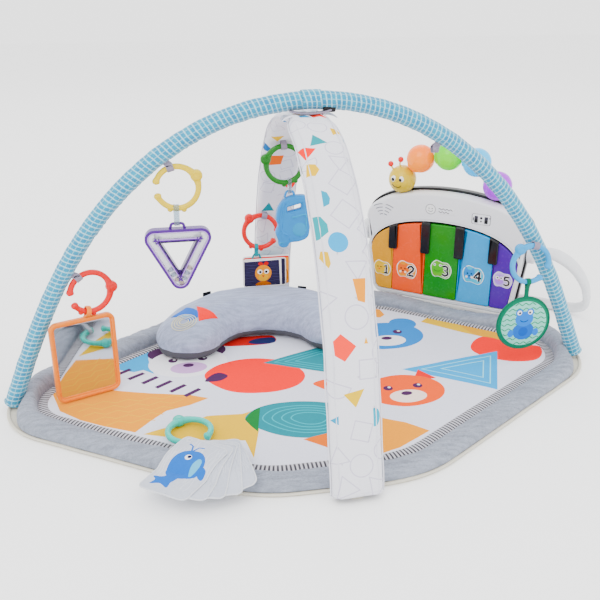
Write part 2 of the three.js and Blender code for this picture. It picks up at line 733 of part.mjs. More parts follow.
// lit bug on top: a head and four balls in an arch, flattened where neighbours meet
const bugCentres = [[-90, 242], [-57, 283], [-5, 293], [46, 287], [86, 250]];
const ballDepth = 17;
function bugBall(i) {
  const [x, z] = bugCentres[i];
  let ball = sphere(x, ballDepth, z, ballRadius);
  bugCentres.forEach(([otherX, otherZ], j) => {
    if (Math.abs(i - j) !== 1) return;
    const distance = Math.hypot(otherX - x, otherZ - z);
    const slice = box(distance / 2 - gap / 2, distance + 50, -60, 60, -60, 60);
    slice.rotateY(-Math.atan2(otherZ - z, otherX - x)).translate(x, ballDepth, z);
    ball = cut(ball, slice);
  });
  return cut(ball, upright(caseOutline(4 + 2 * gap), -60, 90, 0, 6));
}
const antennae = [[-22, 27], [-3, 37]].map(([dx, dz]) => {
  const [x, z] = bugCentres[0];
  const stalk = new THREE.CylinderGeometry(1.4, 1.4, 20, 6).rotateX(Math.PI / 2);
  stalk.rotateY(Math.atan2(dx, dz));
  stalk.translate(x + dx * 0.72, ballDepth - 6, z + dz * 0.72);
  return join(stalk, sphere(x + dx, ballDepth - 6, z + dz, 4.5, 7, 4));
});
add('bug_head', join(bugBall(0), ...antennae), looks.yellow, piano);
for (let i = 1; i < bugCentres.length; i += 1) {
  add(`light_ball_${i}`, bugBall(i), paint(ballColours[i - 1], 0.3), piano);
}

// folding stand: hubs on the case's sides, arms curving out to a foot bar behind
const armRoute = [
  [157, 24, 135], [196, 30, 136], [230, 52, 108], [250, 82, 60], [240, 104, 16], [150, 112, 9], [0, 114, 9],
];
const halfRoute = armRoute.map(([x, y, z]) => new THREE.Vector3(x, y, z));
const otherHalf = halfRoute.slice(0, -1).reverse().map(({ x, y, z }) => new THREE.Vector3(-x, y, z));
const standPath = new THREE.CatmullRomCurve3([...halfRoute, ...otherHalf], false, 'centripetal');
add('stand', sweep(disc(8), standPath, 32), looks.white, piano);

export default gym;
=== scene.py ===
import math
import random

import bmesh
import bpy
import numpy as np
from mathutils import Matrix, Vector, noise
from mathutils.bvhtree import BVHTree
from mathutils.geometry import delaunay_2d_cdt


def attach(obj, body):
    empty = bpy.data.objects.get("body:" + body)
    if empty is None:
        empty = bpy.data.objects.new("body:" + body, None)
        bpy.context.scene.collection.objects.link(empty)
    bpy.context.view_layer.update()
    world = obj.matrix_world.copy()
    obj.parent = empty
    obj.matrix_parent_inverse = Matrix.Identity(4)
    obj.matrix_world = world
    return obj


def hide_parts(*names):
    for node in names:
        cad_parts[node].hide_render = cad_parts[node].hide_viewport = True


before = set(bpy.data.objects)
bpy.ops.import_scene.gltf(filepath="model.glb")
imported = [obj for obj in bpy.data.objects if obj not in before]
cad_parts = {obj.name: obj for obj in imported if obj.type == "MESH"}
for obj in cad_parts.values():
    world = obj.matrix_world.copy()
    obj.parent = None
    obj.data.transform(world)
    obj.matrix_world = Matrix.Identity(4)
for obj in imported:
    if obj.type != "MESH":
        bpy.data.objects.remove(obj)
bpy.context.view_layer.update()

MM = 0.001
TAU = math.tau
scene = bpy.context.scene


# ---------- camera ----------
def make_camera():
    azimuth, elevation, distance = math.radians(-10.5), math.radians(22.9), 1.569
    target = Vector((0.045, 0.329, 0.0))
    back = Vector((
        math.sin(azimuth) * math.cos(elevation),
        -math.cos(azimuth) * math.cos(elevation),
        math.sin(elevation),
    ))
    data = bpy.data.cameras.new("camera")
    data.lens, data.sensor_width, data.clip_start = 48.0, 36.0, 0.05
    camera = bpy.data.objects.new("camera", data)
    camera.location = target + back * distance
    camera.rotation_euler = back.to_track_quat("Z", "Y").to_euler()
    scene.collection.objects.link(camera)
    scene.camera = camera


make_camera()


# ---------- colours and materials ----------
def linear(rgb):
    """sRGB 0 to 255 as linear RGBA, made purer and deeper where it is not grey."""
    parts = [value / 255 for value in rgb[:3]]
    parts = [p / 12.92 if p < 0.04045 else ((p + 0.055) / 1.055) ** 2.4 for p in parts]
    grey = 0.2126 * parts[0] + 0.7152 * parts[1] + 0.0722 * parts[2]
    most, least = max(parts), min(parts)
    gain = (0.78 - 0.24 * (most - least)) * (1 - 0.45 * (most - least) / max(most, 1e-6) * (1 - most))
    return [min(1.0, max(0.0, (grey + (p - grey) * 1.75) * gain)) for p in parts] + [1.0]


class Look:
    """A material and short ways to add nodes to it."""

    def __init__(self, name, **sockets):
        self.material = bpy.data.materials.new(name)
        self.material.use_nodes = True
        self.tree = self.material.node_tree
        self.shader = self.tree.nodes["Principled BSDF"]
        for key, value in sockets.items():
            self.shader.inputs[key.replace("_", " ")].default_value = value

    def node(self, kind, settings=None, **inputs):
        made = self.tree.nodes.new("ShaderNode" + kind)
        for key, value in (settings or {}).items():
            setattr(made, key, value)
        for key, value in inputs.items():
            socket = made.inputs[int(key[1:])] if key[0] == "i" and key[1:].isdigit() else made.inputs[key]
            if isinstance(value, bpy.types.NodeSocket):
                self.tree.links.new(value, socket)
            else:
                socket.default_value = value
        return made

    def to(self, output, name):
        self.tree.links.new(output, self.shader.inputs[name])

    def math(self, operation, first, second=0.0):
        return self.node("Math", {"operation": operation}, i0=first, i1=second).outputs[0]

    def place(self, scale=(1, 1, 1), kind="Object", turn=(0, 0, 0)):
        source = self.node("TexCoord").outputs[kind]
        return self.node("Mapping", Vector=source, Scale=scale, Rotation=turn).outputs[0]

    def noise(self, scale, where=None, detail=2.0, roughness=0.5):
        where = where or self.place()
        return self.node("TexNoise", Vector=where, Scale=scale, Detail=detail,
                         Roughness=roughness).outputs["Fac"]

    def ramp(self, value, low, high, first, second):
        return self.node("MapRange", **{
            "Value": value, "From Min": low, "From Max": high, "To Min": first, "To Max": second}).outputs[0]

    def mix(self, factor, first, second, blend="MIX"):
        made = self.tree.nodes.new("ShaderNodeMix")
        made.data_type, made.blend_type = "RGBA", blend
        for index, value in ((0, factor), (6, first), (7, second)):
            if isinstance(value, bpy.types.NodeSocket):
                self.tree.links.new(value, made.inputs[index])
            else:
                made.inputs[index].default_value = value
        return made.outputs[2]

    def bump(self, height, strength=0.3, distance=0.001, under=None):
        made = self.node("Bump", Height=height, Strength=strength, Distance=distance)
        if under is not None:
            self.tree.links.new(under, made.inputs["Normal"])
        return made.outputs[0]


def base_colour(look, colour):
    """The print attribute where colour is "print", or one colour."""
    if colour == "print":
        return look.node("Attribute", {"attribute_name": "print"}).outputs["Color"]
    return linear(colour)


def cloth(name, colour, vary=0.12, slub=(1, 1, 7), scale=260, weave=900, sheen=0.25, roughness=0.85,
          bump=0.35,
          heather=0.0):
    """Woven or brushed cloth: slubs and long heather streaks colour it, threads and soft creases roughen it."""
    look = Look(name, Roughness=roughness, Sheen_Weight=sheen * 0.3, Sheen_Roughness=0.5,
                Specular_IOR_Level=0.04)
    threads = look.noise(scale, look.place(slub), 3.0, 0.6)
    cross = look.noise(scale, look.place((slub[2], slub[0], slub[1])), 3.0, 0.6)
    tone = look.math("ADD", look.ramp(threads, 0.3, 0.7, 1 - vary, 1 + vary * 0.4),
                     look.ramp(cross, 0.3, 0.7, -vary * 0.5, vary * 0.3))
    if heather:
        streak = look.noise(34, look.place((1, 6, 3), turn=(0, 0, 0.35)), 5.0, 0.68)
        tone = look.math("ADD", tone, look.ramp(streak, 0.3, 0.7, -heather, heather * 0.6))
    shade = look.node("CombineColor", Red=tone, Green=tone, Blue=tone).outputs[0]
    look.to(look.mix(1.0, base_colour(look, colour), shade, "MULTIPLY"), "Base Color")
    grain = look.noise(weave, detail=4.0, roughness=0.7)
    soft = look.noise(55, detail=2.0)
    first = look.bump(soft, bump * 0.5, 0.0015)
    look.to(look.bump(grain, bump, 0.0004, first), "Normal")
    return look


def woven(name, colour, pitch=0.0016, vary=0.1, **more):
    """Webbing or canvas with threads that follow the piece's own UV, in metres."""
    look = cloth(name, colour, vary=vary, weave=1400, bump=0.25, **more)
    split = look.node("SeparateXYZ", Vector=look.node("TexCoord").outputs["UV"])
    across = look.math("SINE", look.math("MULTIPLY", split.outputs[0], TAU / pitch))
    along = look.math("SINE", look.math("MULTIPLY", split.outputs[1], TAU / pitch))
    height = look.math("MULTIPLY", across, along)
    look.to(look.bump(height, 0.6, 0.0004), "Normal")
    return look


def plastic(name, colour, roughness=0.28, coat=0.3, grain=0.06, soft=0.0, vary=0.03):
    """Moulded plastic with faint mould texture and handling marks in its gloss."""
    look = Look(name, Coat_Weight=coat * 0.5, Coat_Roughness=0.12, Subsurface_Weight=soft * 0.4,
                Subsurface_Radius=(0.012, 0.012, 0.012), Subsurface_Scale=0.3, Specular_IOR_Level=0.2)
    tone = look.ramp(look.noise(38, detail=3), 0.3, 0.7, 1 - vary, 1 + vary)
    shade = look.node("CombineColor", Red=tone, Green=tone, Blue=tone).outputs[0]
    look.to(look.mix(1.0, base_colour(look, colour), shade, "MULTIPLY"), "Base Color")
    marks = look.noise(130, detail=5.0, roughness=0.65)
    look.to(look.ramp(marks, 0.35, 0.75, roughness * 0.8, roughness * 1.35), "Roughness")
    look.to(look.bump(look.noise(1500, detail=1.0), grain, 0.0002), "Normal")
    return look


def glow(name, colour, core, strength, lamp):
    """Translucent lit plastic: brighter near the lamp behind its front wall, deeper farther round."""
    look = plastic(name, colour, roughness=0.2, coat=0.5, soft=0.5)
    away = look.node("VectorMath", {"operation": "DISTANCE"}, i0=look.node("TexCoord").outputs["Object"],
                     i1=lamp).outputs["Value"]
    look.to(look.mix(look.ramp(away, 0.010, 0.036, 0.0, 1.0), linear(core), linear(colour)), "Emission Color")
    look.shader.inputs["Emission Strength"].default_value = strength
    return look


def clear(name, tint=(236, 244, 250), roughness=0.08):
    look = Look(name, Roughness=roughness, Transmission_Weight=0.92, IOR=1.3, Coat_Weight=0.3)
    look.shader.inputs["Base Color"].default_value = linear(tint)
    look.to(look.bump(look.noise(60, detail=2.0), 0.05, 0.001), "Normal")
    return look


# ---------- flat outlines, in millimetres ----------
def circle(x, y, radius, count=36, squash=1.0):
    return [(x + radius * math.cos(TAU * i / count), y + squash * radius * math.sin(TAU * i / count))
            for i in range(count)]


def polygon(x, y, radius, sides, turn):
    """Regular polygon whose first corner lies at the angle turn."""
    return [(x + radius * math.cos(turn + TAU * i / sides), y + radius * math.sin(turn + TAU * i / sides))
            for i in range(sides)]


def soft(points, per=5):
    """Closed Catmull-Rom curve through the points."""
    count, out = len(points), []
    for i in range(count):
        p0, p1, p2, p3 = (Vector(points[(i + k) % count]) for k in (-1, 0, 1, 2))
        for k in range(per):
            t = k / per
            out.append(tuple(0.5 * ((2 * p1) + (p2 - p0) * t + (2 * p0 - 5 * p1 + 4 * p2 - p3) * t * t
                                    + (3 * p1 - p0 - 3 * p2 + p3) * t ** 3)))
    return out


def area_of(loop):
    return 0.5 * sum(a[0] * b[1] - b[0] * a[1] for a, b in zip(loop, loop[1:] + loop[:1]))


def grown(loop, distance):
    """Loop moved away from what lies on its left: outward if counterclockwise."""
    points, out = [Vector(p) for p in loop], []
    for i, point in enumerate(points):
        before = (point - points[i - 1]).normalized()
        after = (points[(i + 1) % len(points)] - point).normalized()
        first, second = Vector((before.y, -before.x)), Vector((after.y, -after.x))
        middle = (first + second).normalized() if (first + second).length > 1e-6 else first
        out.append(tuple(point + middle * (distance / max(0.4, middle.dot(first)))))
    return out


def rounded(corners, per=8):
    """Counterclockwise polygon of (x, y, radius) with round corners."""
    out = []
    for i, (x, y, radius) in enumerate(corners):
        corner = Vector((x, y))
        before = (Vector(corners[i - 1][:2]) - corner).normalized()
        after = (Vector(corners[(i + 1) % len(corners)][:2]) - corner).normalized()
        half = before.angle(after) / 2
        setback = radius / math.tan(half)
        centre = corner + (before + after).normalized() * (radius / math.sin(half))
        start, end = corner + before * setback - centre, corner + after * setback - centre
        a0, a1 = math.atan2(start.y, start.x), math.atan2(end.y, end.x)
        sweep_angle = (a1 - a0 + math.pi) % TAU - math.pi
        for k in range(per + 1):
            angle = a0 + sweep_angle * k / per
            out.append((centre.x + radius * math.cos(angle), centre.y + radius * math.sin(angle)))
    return out


def box_corners(x0, x1, y0, y1, radius):
    return [(x0, y0, radius), (x1, y0, radius), (x1, y1, radius), (x0, y1, radius)]


def stroke(points, width, closed=False):
    """Loops of a line of that width, filled by the even-odd rule."""
    if closed:
        loop = list(points) if area_of(list(points)) > 0 else list(points)[::-1]
        return [grown(loop, width / 2), grown(loop, -width / 2)]
    left, right = [], []
    spots = [Vector(p) for p in points]
    for i, spot in enumerate(spots):
        run = (spots[min(i + 1, len(spots) - 1)] - spots[max(i - 1, 0)]).normalized()
        side = Vector((-run.y, run.x)) * width / 2
        left.append(tuple(spot + side))
        right.append(tuple(spot - side))
    return [left + right[::-1]]


def spaced(loop, step):
    """The loop with every edge at most step long."""
    out = []
    for a, b in zip(loop, loop[1:] + loop[:1]):
        count = max(1, math.ceil(math.dist(a, b) / step))
        out += [(a[0] + (b[0] - a[0]) * k / count, a[1] + (b[1] - a[1]) * k / count) for k in range(count)]
    return out


def inside(points, loop):
    """Even-odd test of many points against one loop."""
    x, y = points[:, 0], points[:, 1]
    hit = np.zeros(len(points), bool)
    for (ax, ay), (bx, by) in zip(loop, loop[1:] + loop[:1]):
        if ay == by:
            continue
        crosses = ((ay > y) != (by > y)) & (x < (bx - ax) * (y - ay) / (by - ay) + ax)
        hit ^= crosses
    return hit


# ---------- meshes ----------
def piece(name, vertices, faces, looks, smooth=True, sharp=35, merge=None, tidy=True):
    mesh = bpy.data.meshes.new(name)
    mesh.from_pydata([tuple(v) for v in vertices], [], faces)
    made = bpy.data.objects.new(name, mesh)
    scene.collection.objects.link(made)
    for look in looks if isinstance(looks, (list, tuple)) else [looks]:
        mesh.materials.append(look.material)
    if tidy:
        work = bmesh.new()
        work.from_mesh(mesh)
        if merge:
            bmesh.ops.remove_doubles(work, verts=work.verts, dist=merge)
        bmesh.ops.recalc_face_normals(work, faces=work.faces)
        work.to_mesh(mesh)
        work.free()
    if smooth:
        mesh.shade_smooth()
        if sharp:
            mesh.set_sharp_from_angle(angle=math.radians(sharp))
    return made


def settle(made, body, slot, *nodes):
    """Rides a finished piece on its body and hides the CAD nodes it stands for; slot is not used."""
    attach(made, body)
    if nodes:
        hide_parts(*nodes)
    return made


def weigh(made):
    modifier = made.modifiers.new("normals", "WEIGHTED_NORMAL")
    modifier.keep_sharp = True
    return made


def crown(made, levels=1):
    modifier = made.modifiers.new("smooth", "SUBSURF")
    modifier.levels = modifier.render_levels = levels
    return made


def joined(name, parts):
    """One piece from several: the first one's name changes and the others go."""
    depsgraph = bpy.context.evaluated_depsgraph_get()
    work = bmesh.new()
    materials = []
    for part in parts:
        mesh = bpy.data.meshes.new_from_object(part.evaluated_get(depsgraph))
        slots = []
        for material in mesh.materials:
            if material not in materials:
                materials.append(material)
            slots.append(materials.index(material))
        count = len(work.faces)
        work.from_mesh(mesh)
        work.faces.ensure_lookup_table()
        for face in list(work.faces)[count:]:
            face.material_index = slots[face.material_index] if slots else 0
        bpy.data.meshes.remove(mesh)
    for part in parts:
        bpy.data.objects.remove(part, do_unlink=True)
    mesh = bpy.data.meshes.new(name)
    work.to_mesh(mesh)
    work.free()
    for material in materials:
        mesh.materials.append(material)
    made = bpy.data.objects.new(name, mesh)
    scene.collection.objects.link(made)
    return made


def paint(mesh, colours):
    """One sRGB colour for each face, as the corner attribute "print"."""
    layer = mesh.color_attributes.new("print", "FLOAT_COLOR", "CORNER")
    flat = np.ones((len(mesh.loops), 4))
    for face, colour in zip(mesh.polygons, colours):
        flat[face.loop_start:face.loop_start + face.loop_total] = colour
    layer.data.foreach_set("color", flat.ravel())


def uv_from(mesh, values):
    layer = mesh.uv_layers.new(name="UVMap")
    for loop in mesh.loops:
        layer.data[loop.index].uv = values[loop.vertex_index]


def printed(name, outline, ground, shapes, step, place, look, wall=0.0, extra=(), uv=False):
    """A cloth face with a crisp print. shapes are (colour, [loops]), later ones on top; place maps
    (x, y) in millimetres to a point in metres; wall makes it that thick, in millimetres."""
    border = spaced(outline, step)
    loops = [border] + [spaced(loop, step) for _, group in shapes for loop in group]
    xs, ys = [p[0] for p in outline], [p[1] for p in outline]
    grid = [(x + (step / 2 if row % 2 else 0), y)
            for row, y in enumerate(np.arange(min(ys), max(ys), step * 0.87))
            for x in np.arange(min(xs), max(xs), step)]
    grid += list(extra)
    grid = np.array(grid)
    grid = grid[inside(grid, grown(border, -step * 0.4))]
    points, edges = [], []
    for loop in loops:
        start = len(points)
        points += loop
        edges += [(start + k, start + (k + 1) % len(loop)) for k in range(len(loop))]
    points += [tuple(p) for p in grid]
    found, _, faces, *_ = delaunay_2d_cdt([Vector(p) for p in points], edges, [], 0, 1e-4)
    flat = np.array([tuple(p) for p in found])
    faces = [tuple(face) for face in faces]
    middle = np.array([flat[list(face)].mean(0) for face in faces])
    keep = inside(middle, border)
    faces = [face for face, wanted in zip(faces, keep) if wanted]
    middle = middle[keep]
    colours = np.tile(linear(ground), (len(faces), 1))
    for colour, group in shapes:
        hit = np.zeros(len(faces), bool)
        for loop in group:
            hit ^= inside(middle, loop)
        colours[hit] = linear(colour)
    used = sorted({index for face in faces for index in face})
    where = {old: new for new, old in enumerate(used)}
    vertices = [place(*flat[index]) for index in used]
    made = piece(name, vertices, [tuple(where[i] for i in face) for face in faces], look, sharp=None,
                 tidy=False)
    paint(made.data, colours)
    if uv:
        uv_from(made.data, [flat[index] * MM for index in used])
    if wall:
        modifier = made.modifiers.new("wall", "SOLIDIFY")
        modifier.thickness, modifier.offset = wall * MM, -1.0
    return made


def slab(name, loops, w0, w1, bevel, place, look, steps=4, back_bevel=None, sharp=50):
    """A solid with flat faces at depths w0 and w1 and round edges. loops[0] is its outline,
    counterclockwise, the others are holes, clockwise; place maps (u, w, v) in millimetres to metres."""
    loops = [list(loop) for loop in loops]
    if area_of(loops[0]) < 0:
        loops[0].reverse()
    for hole in loops[1:]:
        if area_of(hole) > 0:
            hole.reverse()
    back_bevel = bevel if back_bevel is None else back_bevel
    layers = []
    for k in range(steps + 1):
        phi = math.pi / 2 * k / steps
        layers.append((bevel * (1 - math.sin(phi)), w0 + bevel * (1 - math.cos(phi))))
    for k in range(steps, -1, -1):
        phi = math.pi / 2 * k / steps
        layers.append((back_bevel * (1 - math.sin(phi)), w1 - back_bevel * (1 - math.cos(phi))))
    vertices, faces, starts = [], [], []
    for inset, depth in layers:
        starts.append(len(vertices))
        for loop in loops:
            vertices += [(u, depth, v) for u, v in (grown(loop, -inset) if inset else loop)]
    for first, second in zip(starts, starts[1:]):
        offset = 0
        for loop in loops:
            count = len(loop)
            for k in range(count):
                a, b = offset + k, offset + (k + 1) % count
                faces.append((first + a, first + b, second + b, second + a))
            offset += count
    for start, inset, flip in ((starts[0], bevel, False), (starts[-1], back_bevel, True)):
        shrunk = [grown(loop, -inset) if inset else loop for loop in loops]
        points = [p for loop in shrunk for p in loop]
        edges, offset = [], 0
        for loop in shrunk:
            edges += [(offset + k, offset + (k + 1) % len(loop)) for k in range(len(loop))]
            offset += len(loop)
        found, _, cap, origin, *_ = delaunay_2d_cdt([Vector(p) for p in points], edges, [], 0, 1e-5)
        spots = np.array([tuple(p) for p in found])
        for face in cap:
            centre = spots[list(face)].mean(0)[None]
            hits = sum(bool(inside(centre, loop)[0]) for loop in shrunk)
            if hits % 2 and all(origin[i] for i in face):
                ids = [start + origin[i][0] for i in face]
                faces.append(tuple(ids[::-1] if flip else ids))
    made = piece(name, [place(u, w, v) for u, w, v in vertices], faces, look, sharp=sharp, merge=1e-7)
    return weigh(made)


def tube(name, path, section, look, closed=False, up=(0, 0, 1), ends=True, uv=True, sharp=40):
    """Sweeps section(i, k, count) -> (a, b) millimetres round a path of points in metres. a runs along
    the path's side, b along its up direction."""
    count = len(path)
    ring = len(section(0))
    vertices, values = [], []
    length = 0.0
    for i, point in enumerate(path):
        before = path[i - 1] if i or closed else path[0]
        after = path[(i + 1) % count] if i < count - 1 or closed else path[-1]
        run = (after - before).normalized()
        up_now = up(i) if callable(up) else Vector(up)
        side = run.cross(up_now).normalized()
        rise = side.cross(run)
        if i:
            length += (point - path[i - 1]).length
        around = 0.0
        spots = section(i)
        for k, (a, b) in enumerate(spots):
            vertices.append(point + side * a * MM + rise * b * MM)
            values.append((length, around))
            nxt = spots[(k + 1) % ring]
            around += math.dist((a, b), nxt) * MM
    faces = []
    for i in range(count if closed else count - 1):
        j = (i + 1) % count
        for k in range(ring):
            n = (k + 1) % ring
            faces.append((i * ring + k, i * ring + n, j * ring + n, j * ring + k))
    if ends and not closed:
        faces.append(tuple(range(ring))[::-1])
        faces.append(tuple((count - 1) * ring + k for k in range(ring)))
    made = piece(name, vertices, faces, look, sharp=sharp)
    if uv:
        uv_from(made.data, values)
    return made


def lathe(name, profile, place, look, around=48, sharp=40):
    """Turns (radius, height) pairs about the height axis; place maps (a, b, height) to metres."""
    vertices, faces = [], []
    rows = len(profile)
    for radius, height in profile:
        for k in range(around):
            angle = TAU * k / around
            vertices.append(place(radius * math.cos(angle), radius * math.sin(angle), height))
    for row in range(rows - 1):
        for k in range(around):
            n = (k + 1) % around
            faces.append((row * around + k, row * around + n, (row + 1) * around + n, (row + 1) * around + k))
    faces.append(tuple(range(around))[::-1])
    faces.append(tuple((rows - 1) * around + k for k in range(around)))
    return piece(name, vertices, faces, look, sharp=sharp, merge=1e-6)


def ball(name, centre, radius, look, place=None, scale=(1, 1, 1), around=40, rows=24):
    vertices, faces = [], []
    for row in range(rows + 1):
        polar = math.pi * row / rows
        for k in range(around):
            angle = TAU * k / around
            vertices.append((
                centre[0] + radius * scale[0] * math.sin(polar) * math.cos(angle),
                centre[1] + radius * scale[1] * math.sin(polar) * math.sin(angle),
                centre[2] + radius * scale[2] * math.cos(polar)))
    for row in range(rows):
        for k in range(around):
            n = (k + 1) % around
            faces.append((row * around + k, row * around + n, (row + 1) * around + n, (row + 1) * around + k))
    place = place or (lambda x, y, z: Vector((x, y, z)) * MM)
    return piece(name, [place(*v) for v in vertices], faces, look, sharp=None, merge=1e-6)


def local(x, y, z, yaw=0.0):
    """Place function of a frame standing at (x, y, z) and turned by yaw: (u, w, v) has w into depth."""
    c, s = math.cos(yaw), math.sin(yaw)
    return lambda u, w, v: Vector((x + u * c - w * s, y + u * s + w * c, z + v)) * MM




# ---------- the mat ----------
MAT_CORNERS = [(-452, -10, 64), (-112, -238, 140), (81, -238, 140), (464, 26, 75), (170, 262, 140), (-96,
                                                                                                     262,
                                                                                                     140)]
FEET = [(448, 0), (-448, 0)]


def mat_outline(offset, per=16):
    """The panel's edge pushed outward by offset, counterclockwise."""
    corners = []
    count = len(MAT_CORNERS)
    lines = []
    for i, (x, y, _) in enumerate(MAT_CORNERS):
        nx, ny, _ = MAT_CORNERS[(i + 1) % count]
        run = Vector((nx - x, ny - y)).normalized()
        lines.append((Vector((x, y)) + Vector((run.y, -run.x)) * offset, run))
    for i, (_, _, radius) in enumerate(MAT_CORNERS):
        (p, d), (q, e) = lines[i - 1], lines[i]
        t = (q - p).cross(e) / d.cross(e)
        spot = p + d * t
        corners.append((spot.x, spot.y, max(radius + offset, 1)))
    return rounded(corners, per)


def resampled(loop, count):
    """count points at equal distances round a closed loop, starting at its first point."""
    spots = [Vector(p) for p in loop] + [Vector(loop[0])]
    along = np.concatenate([[0], np.cumsum([(b - a).length for a, b in zip(spots, spots[1:])])])
    wanted = np.arange(count) * along[-1] / count
    xs = np.interp(wanted, along, [p.x for p in spots])
    ys = np.interp(wanted, along, [p.y for p in spots])
    return [(float(x), float(y)) for x, y in zip(xs, ys)], float(along[-1])


PLUM, WHITE = (75, 50, 80), (248, 248, 252)
CORAL, ORANGE, AMBER, YELLOW = (255, 105, 100), (255, 135, 30), (255, 190, 105), (255, 220, 85)
TEAL, SKY, BLUE, GREEN = (0, 155, 165), (35, 185, 235), (0, 150, 215), (0, 140, 95)
LIGHT_TEAL, PALE = (90, 205, 215), (236, 237, 246)


def scaled(loop, factor, centre=None):
    cx, cy = centre or (sum(p[0] for p in loop) / len(loop), sum(p[1] for p in loop) / len(loop))
    return [(cx + (x - cx) * factor, cy + (y - cy) * factor) for x, y in loop]


def animal_head(add, x, y, wide, fur, ear_fur, ear_sides, muzzle):
    """Plain round head with two ears, two eyes, a muzzle and a nose."""
    for side in (-1, 1):
        add(ear_fur, polygon(x + side * 0.66 * wide, y + 0.62 * wide, 0.36 * wide, ear_sides, TAU / 4))
    add(fur, circle(x, y, wide, 48, 0.78))
    add(muzzle, circle(x, y - 0.3 * wide, 0.46 * wide, 36, 0.66))
    for side in (-1, 1):
        add(PLUM, circle(x + side * 0.38 * wide, y + 0.16 * wide, 0.12 * wide, 24))
        add(WHITE, circle(x + (side * 0.38 + 0.04) * wide, y + 0.2 * wide, 0.04 * wide, 12))
    add(PLUM, circle(x, y - 0.16 * wide, 0.14 * wide, 24, 0.7))


def mat_print():
    shapes = []

    def add(colour, *loops):
        shapes.append((colour, list(loops)))

    amber = [(-395, 24), (-378, -36), (-347, -67), (-313, -90), (-270, -114), (-248, -88), (-226, -64),
             (-191, -54), (-162, -38), (-189, -24), (-248, -7), (-296, 8), (-362, 36)]
    add(AMBER, amber)
    for left, right, y in ((-366, -196, -24), (-352, -200, -39), (-344, -214, -54), (-330, -230, -69),
                           (-310, -242, -84)):
        count = round((right - left) / 17)
        zigzag = [(left + (right - left) * k / count, y + (4 if k % 2 else -4)) for k in range(count + 1)]
        add((255, 210, 140), *stroke(zigzag, 1.8))
    add(SKY, [(-327, 97), (-299, 121), (-263, 144), (-241, 156), (-250, 112), (-247, 79), (-241, 54),
              (-258, 71), (-273, 66), (-295, 77)])
    # striped white animal
    for k in range(6):
        x, y = -290 + 21 * k, 68 - 17 * k
        add(PLUM, *stroke([(x - 12, y - 9), (x + 12, y + 9)], 8))
    animal_head(add, -186, 84, 64, WHITE, PLUM, 36, (206, 176, 214))
    coral = [(-163, 26), (-149, 57), (-115, 76), (-77, 78), (-38, 64), (-13, 36), (-7, 4), (-23, -23), (-54,
                                                                                                        -36),
             (-99, -35), (-136, -18)]
    add(CORAL, soft(coral, 6))
    add(PLUM, soft([(-164, 16), (-151, 34), (-138, 38), (-127, 26), (-137, 14), (-153, 12)]))
    triangle = [(-66, 60), (64, 112), (60, -6)]
    add(TEAL, triangle)
    for factor in (0.78, 0.58, 0.38):
        add(LIGHT_TEAL, *stroke(scaled(triangle, factor), 1.4, True))
    add(YELLOW, [(-259, -121), (-233, -112), (-196, -103), (-168, -90), (-118, -93), (-88, -82), (-101, -144),
                 (-116, -207), (-122, -163), (-163, -154), (-196, -148)])
    oval = soft([(-116, -110), (-93, -80), (-50, -71), (0, -80), (36, -100), (46, -128), (28, -158), (-7,
                                                                                                      -173),
                 (-52, -168), (-90, -146)], 6)
    add(TEAL, oval)
    add(GREEN, soft([(-116, -110), (-108, -95), (-98, -85)], 5)[:11] + [(-90, -79.5), (-102, -144), (-110,
                                                                                                     -128)])
    for factor in (0.74, 0.6, 0.46, 0.32):
        add(LIGHT_TEAL, *stroke(scaled(oval, factor, (-20, -122)), 1.5, True))
    add(ORANGE, soft([(0, -24), (10, -16), (26, -13), (44, -19), (58, -34), (41, -47), (19, -47), (6, -35)]))
    add((240, 150, 40), [(-44, -174), (-4, -164), (20, -172), (12, -214), (-12, -204)])
    add(AMBER, [(60, -120), (79, -141), (107, -157), (134, -184), (100, -205), (81, -217), (54, -226), (28,
                                                                                                        -232)])
    # blue animal
    animal_head(add, 158, 124, 68, BLUE, BLUE, 36, WHITE)
    add(YELLOW, [(238, 168), (258, 187), (369, 104), (369, 86), (352, 64), (300, 108)])
    add((250, 200, 60), [(300, 150), (369, 104), (369, 86), (352, 64), (312, 98)])
    add(CORAL, soft([(286, 47), (300, 72), (322, 88), (342, 78), (358, 57), (378, 45), (404, 38), (398, 12),
                     (376, -10), (340, -10), (312, 4), (292, 24)]))
    kite = [(150, -2), (326, 30), (274, -92)]
    add(SKY, kite)
    for factor in (0.72, 0.44):
        add((190, 238, 250), *stroke(scaled(kite, factor, (262, -20)), 1.8, True))
    # orange animal
    animal_head(add, 134, -68, 62, ORANGE, (240, 95, 20), 3, (255, 240, 232))
    add(AMBER, [(166, 244), (180, 238), (182, 210), (171, 200), (155, 205)])
    add((200, 40, 50), soft([(-128, 138), (-106, 160), (-75, 164), (-36, 160), (-38, 131), (-96, 128)]))
    add((40, 45, 90), soft([(-80, 141), (-62, 153), (-34, 151), (-38, 131), (-68, 131)]))
    # parts the pillow and the piano cover
    add(SKY, circle(-60, 214, 24, 36))
    add(YELLOW, polygon(60, 196, 26, 5, 0.3))
    add(GREEN, polygon(118, 228, 18, 3, 0.8))
    add(CORAL, polygon(-2, 236, 14, 6, 0.2))
    add(TEAL, polygon(-170, 190, 20, 3, 2.2))
    return shapes


def panel_height(x, y, edge):
    """Top of the padded panel: it dips towards its sewn edge and has soft hollows."""
    rise = 1 - math.exp(-max(edge, 0) / 14)
    wave = noise.noise(Vector((x / 70, y / 70, 2.0))) + 0.5 * noise.noise(Vector((x / 28, y / 28, 7.0)))
    return 7.2 + 2.0 * rise + 0.75 * wave * rise


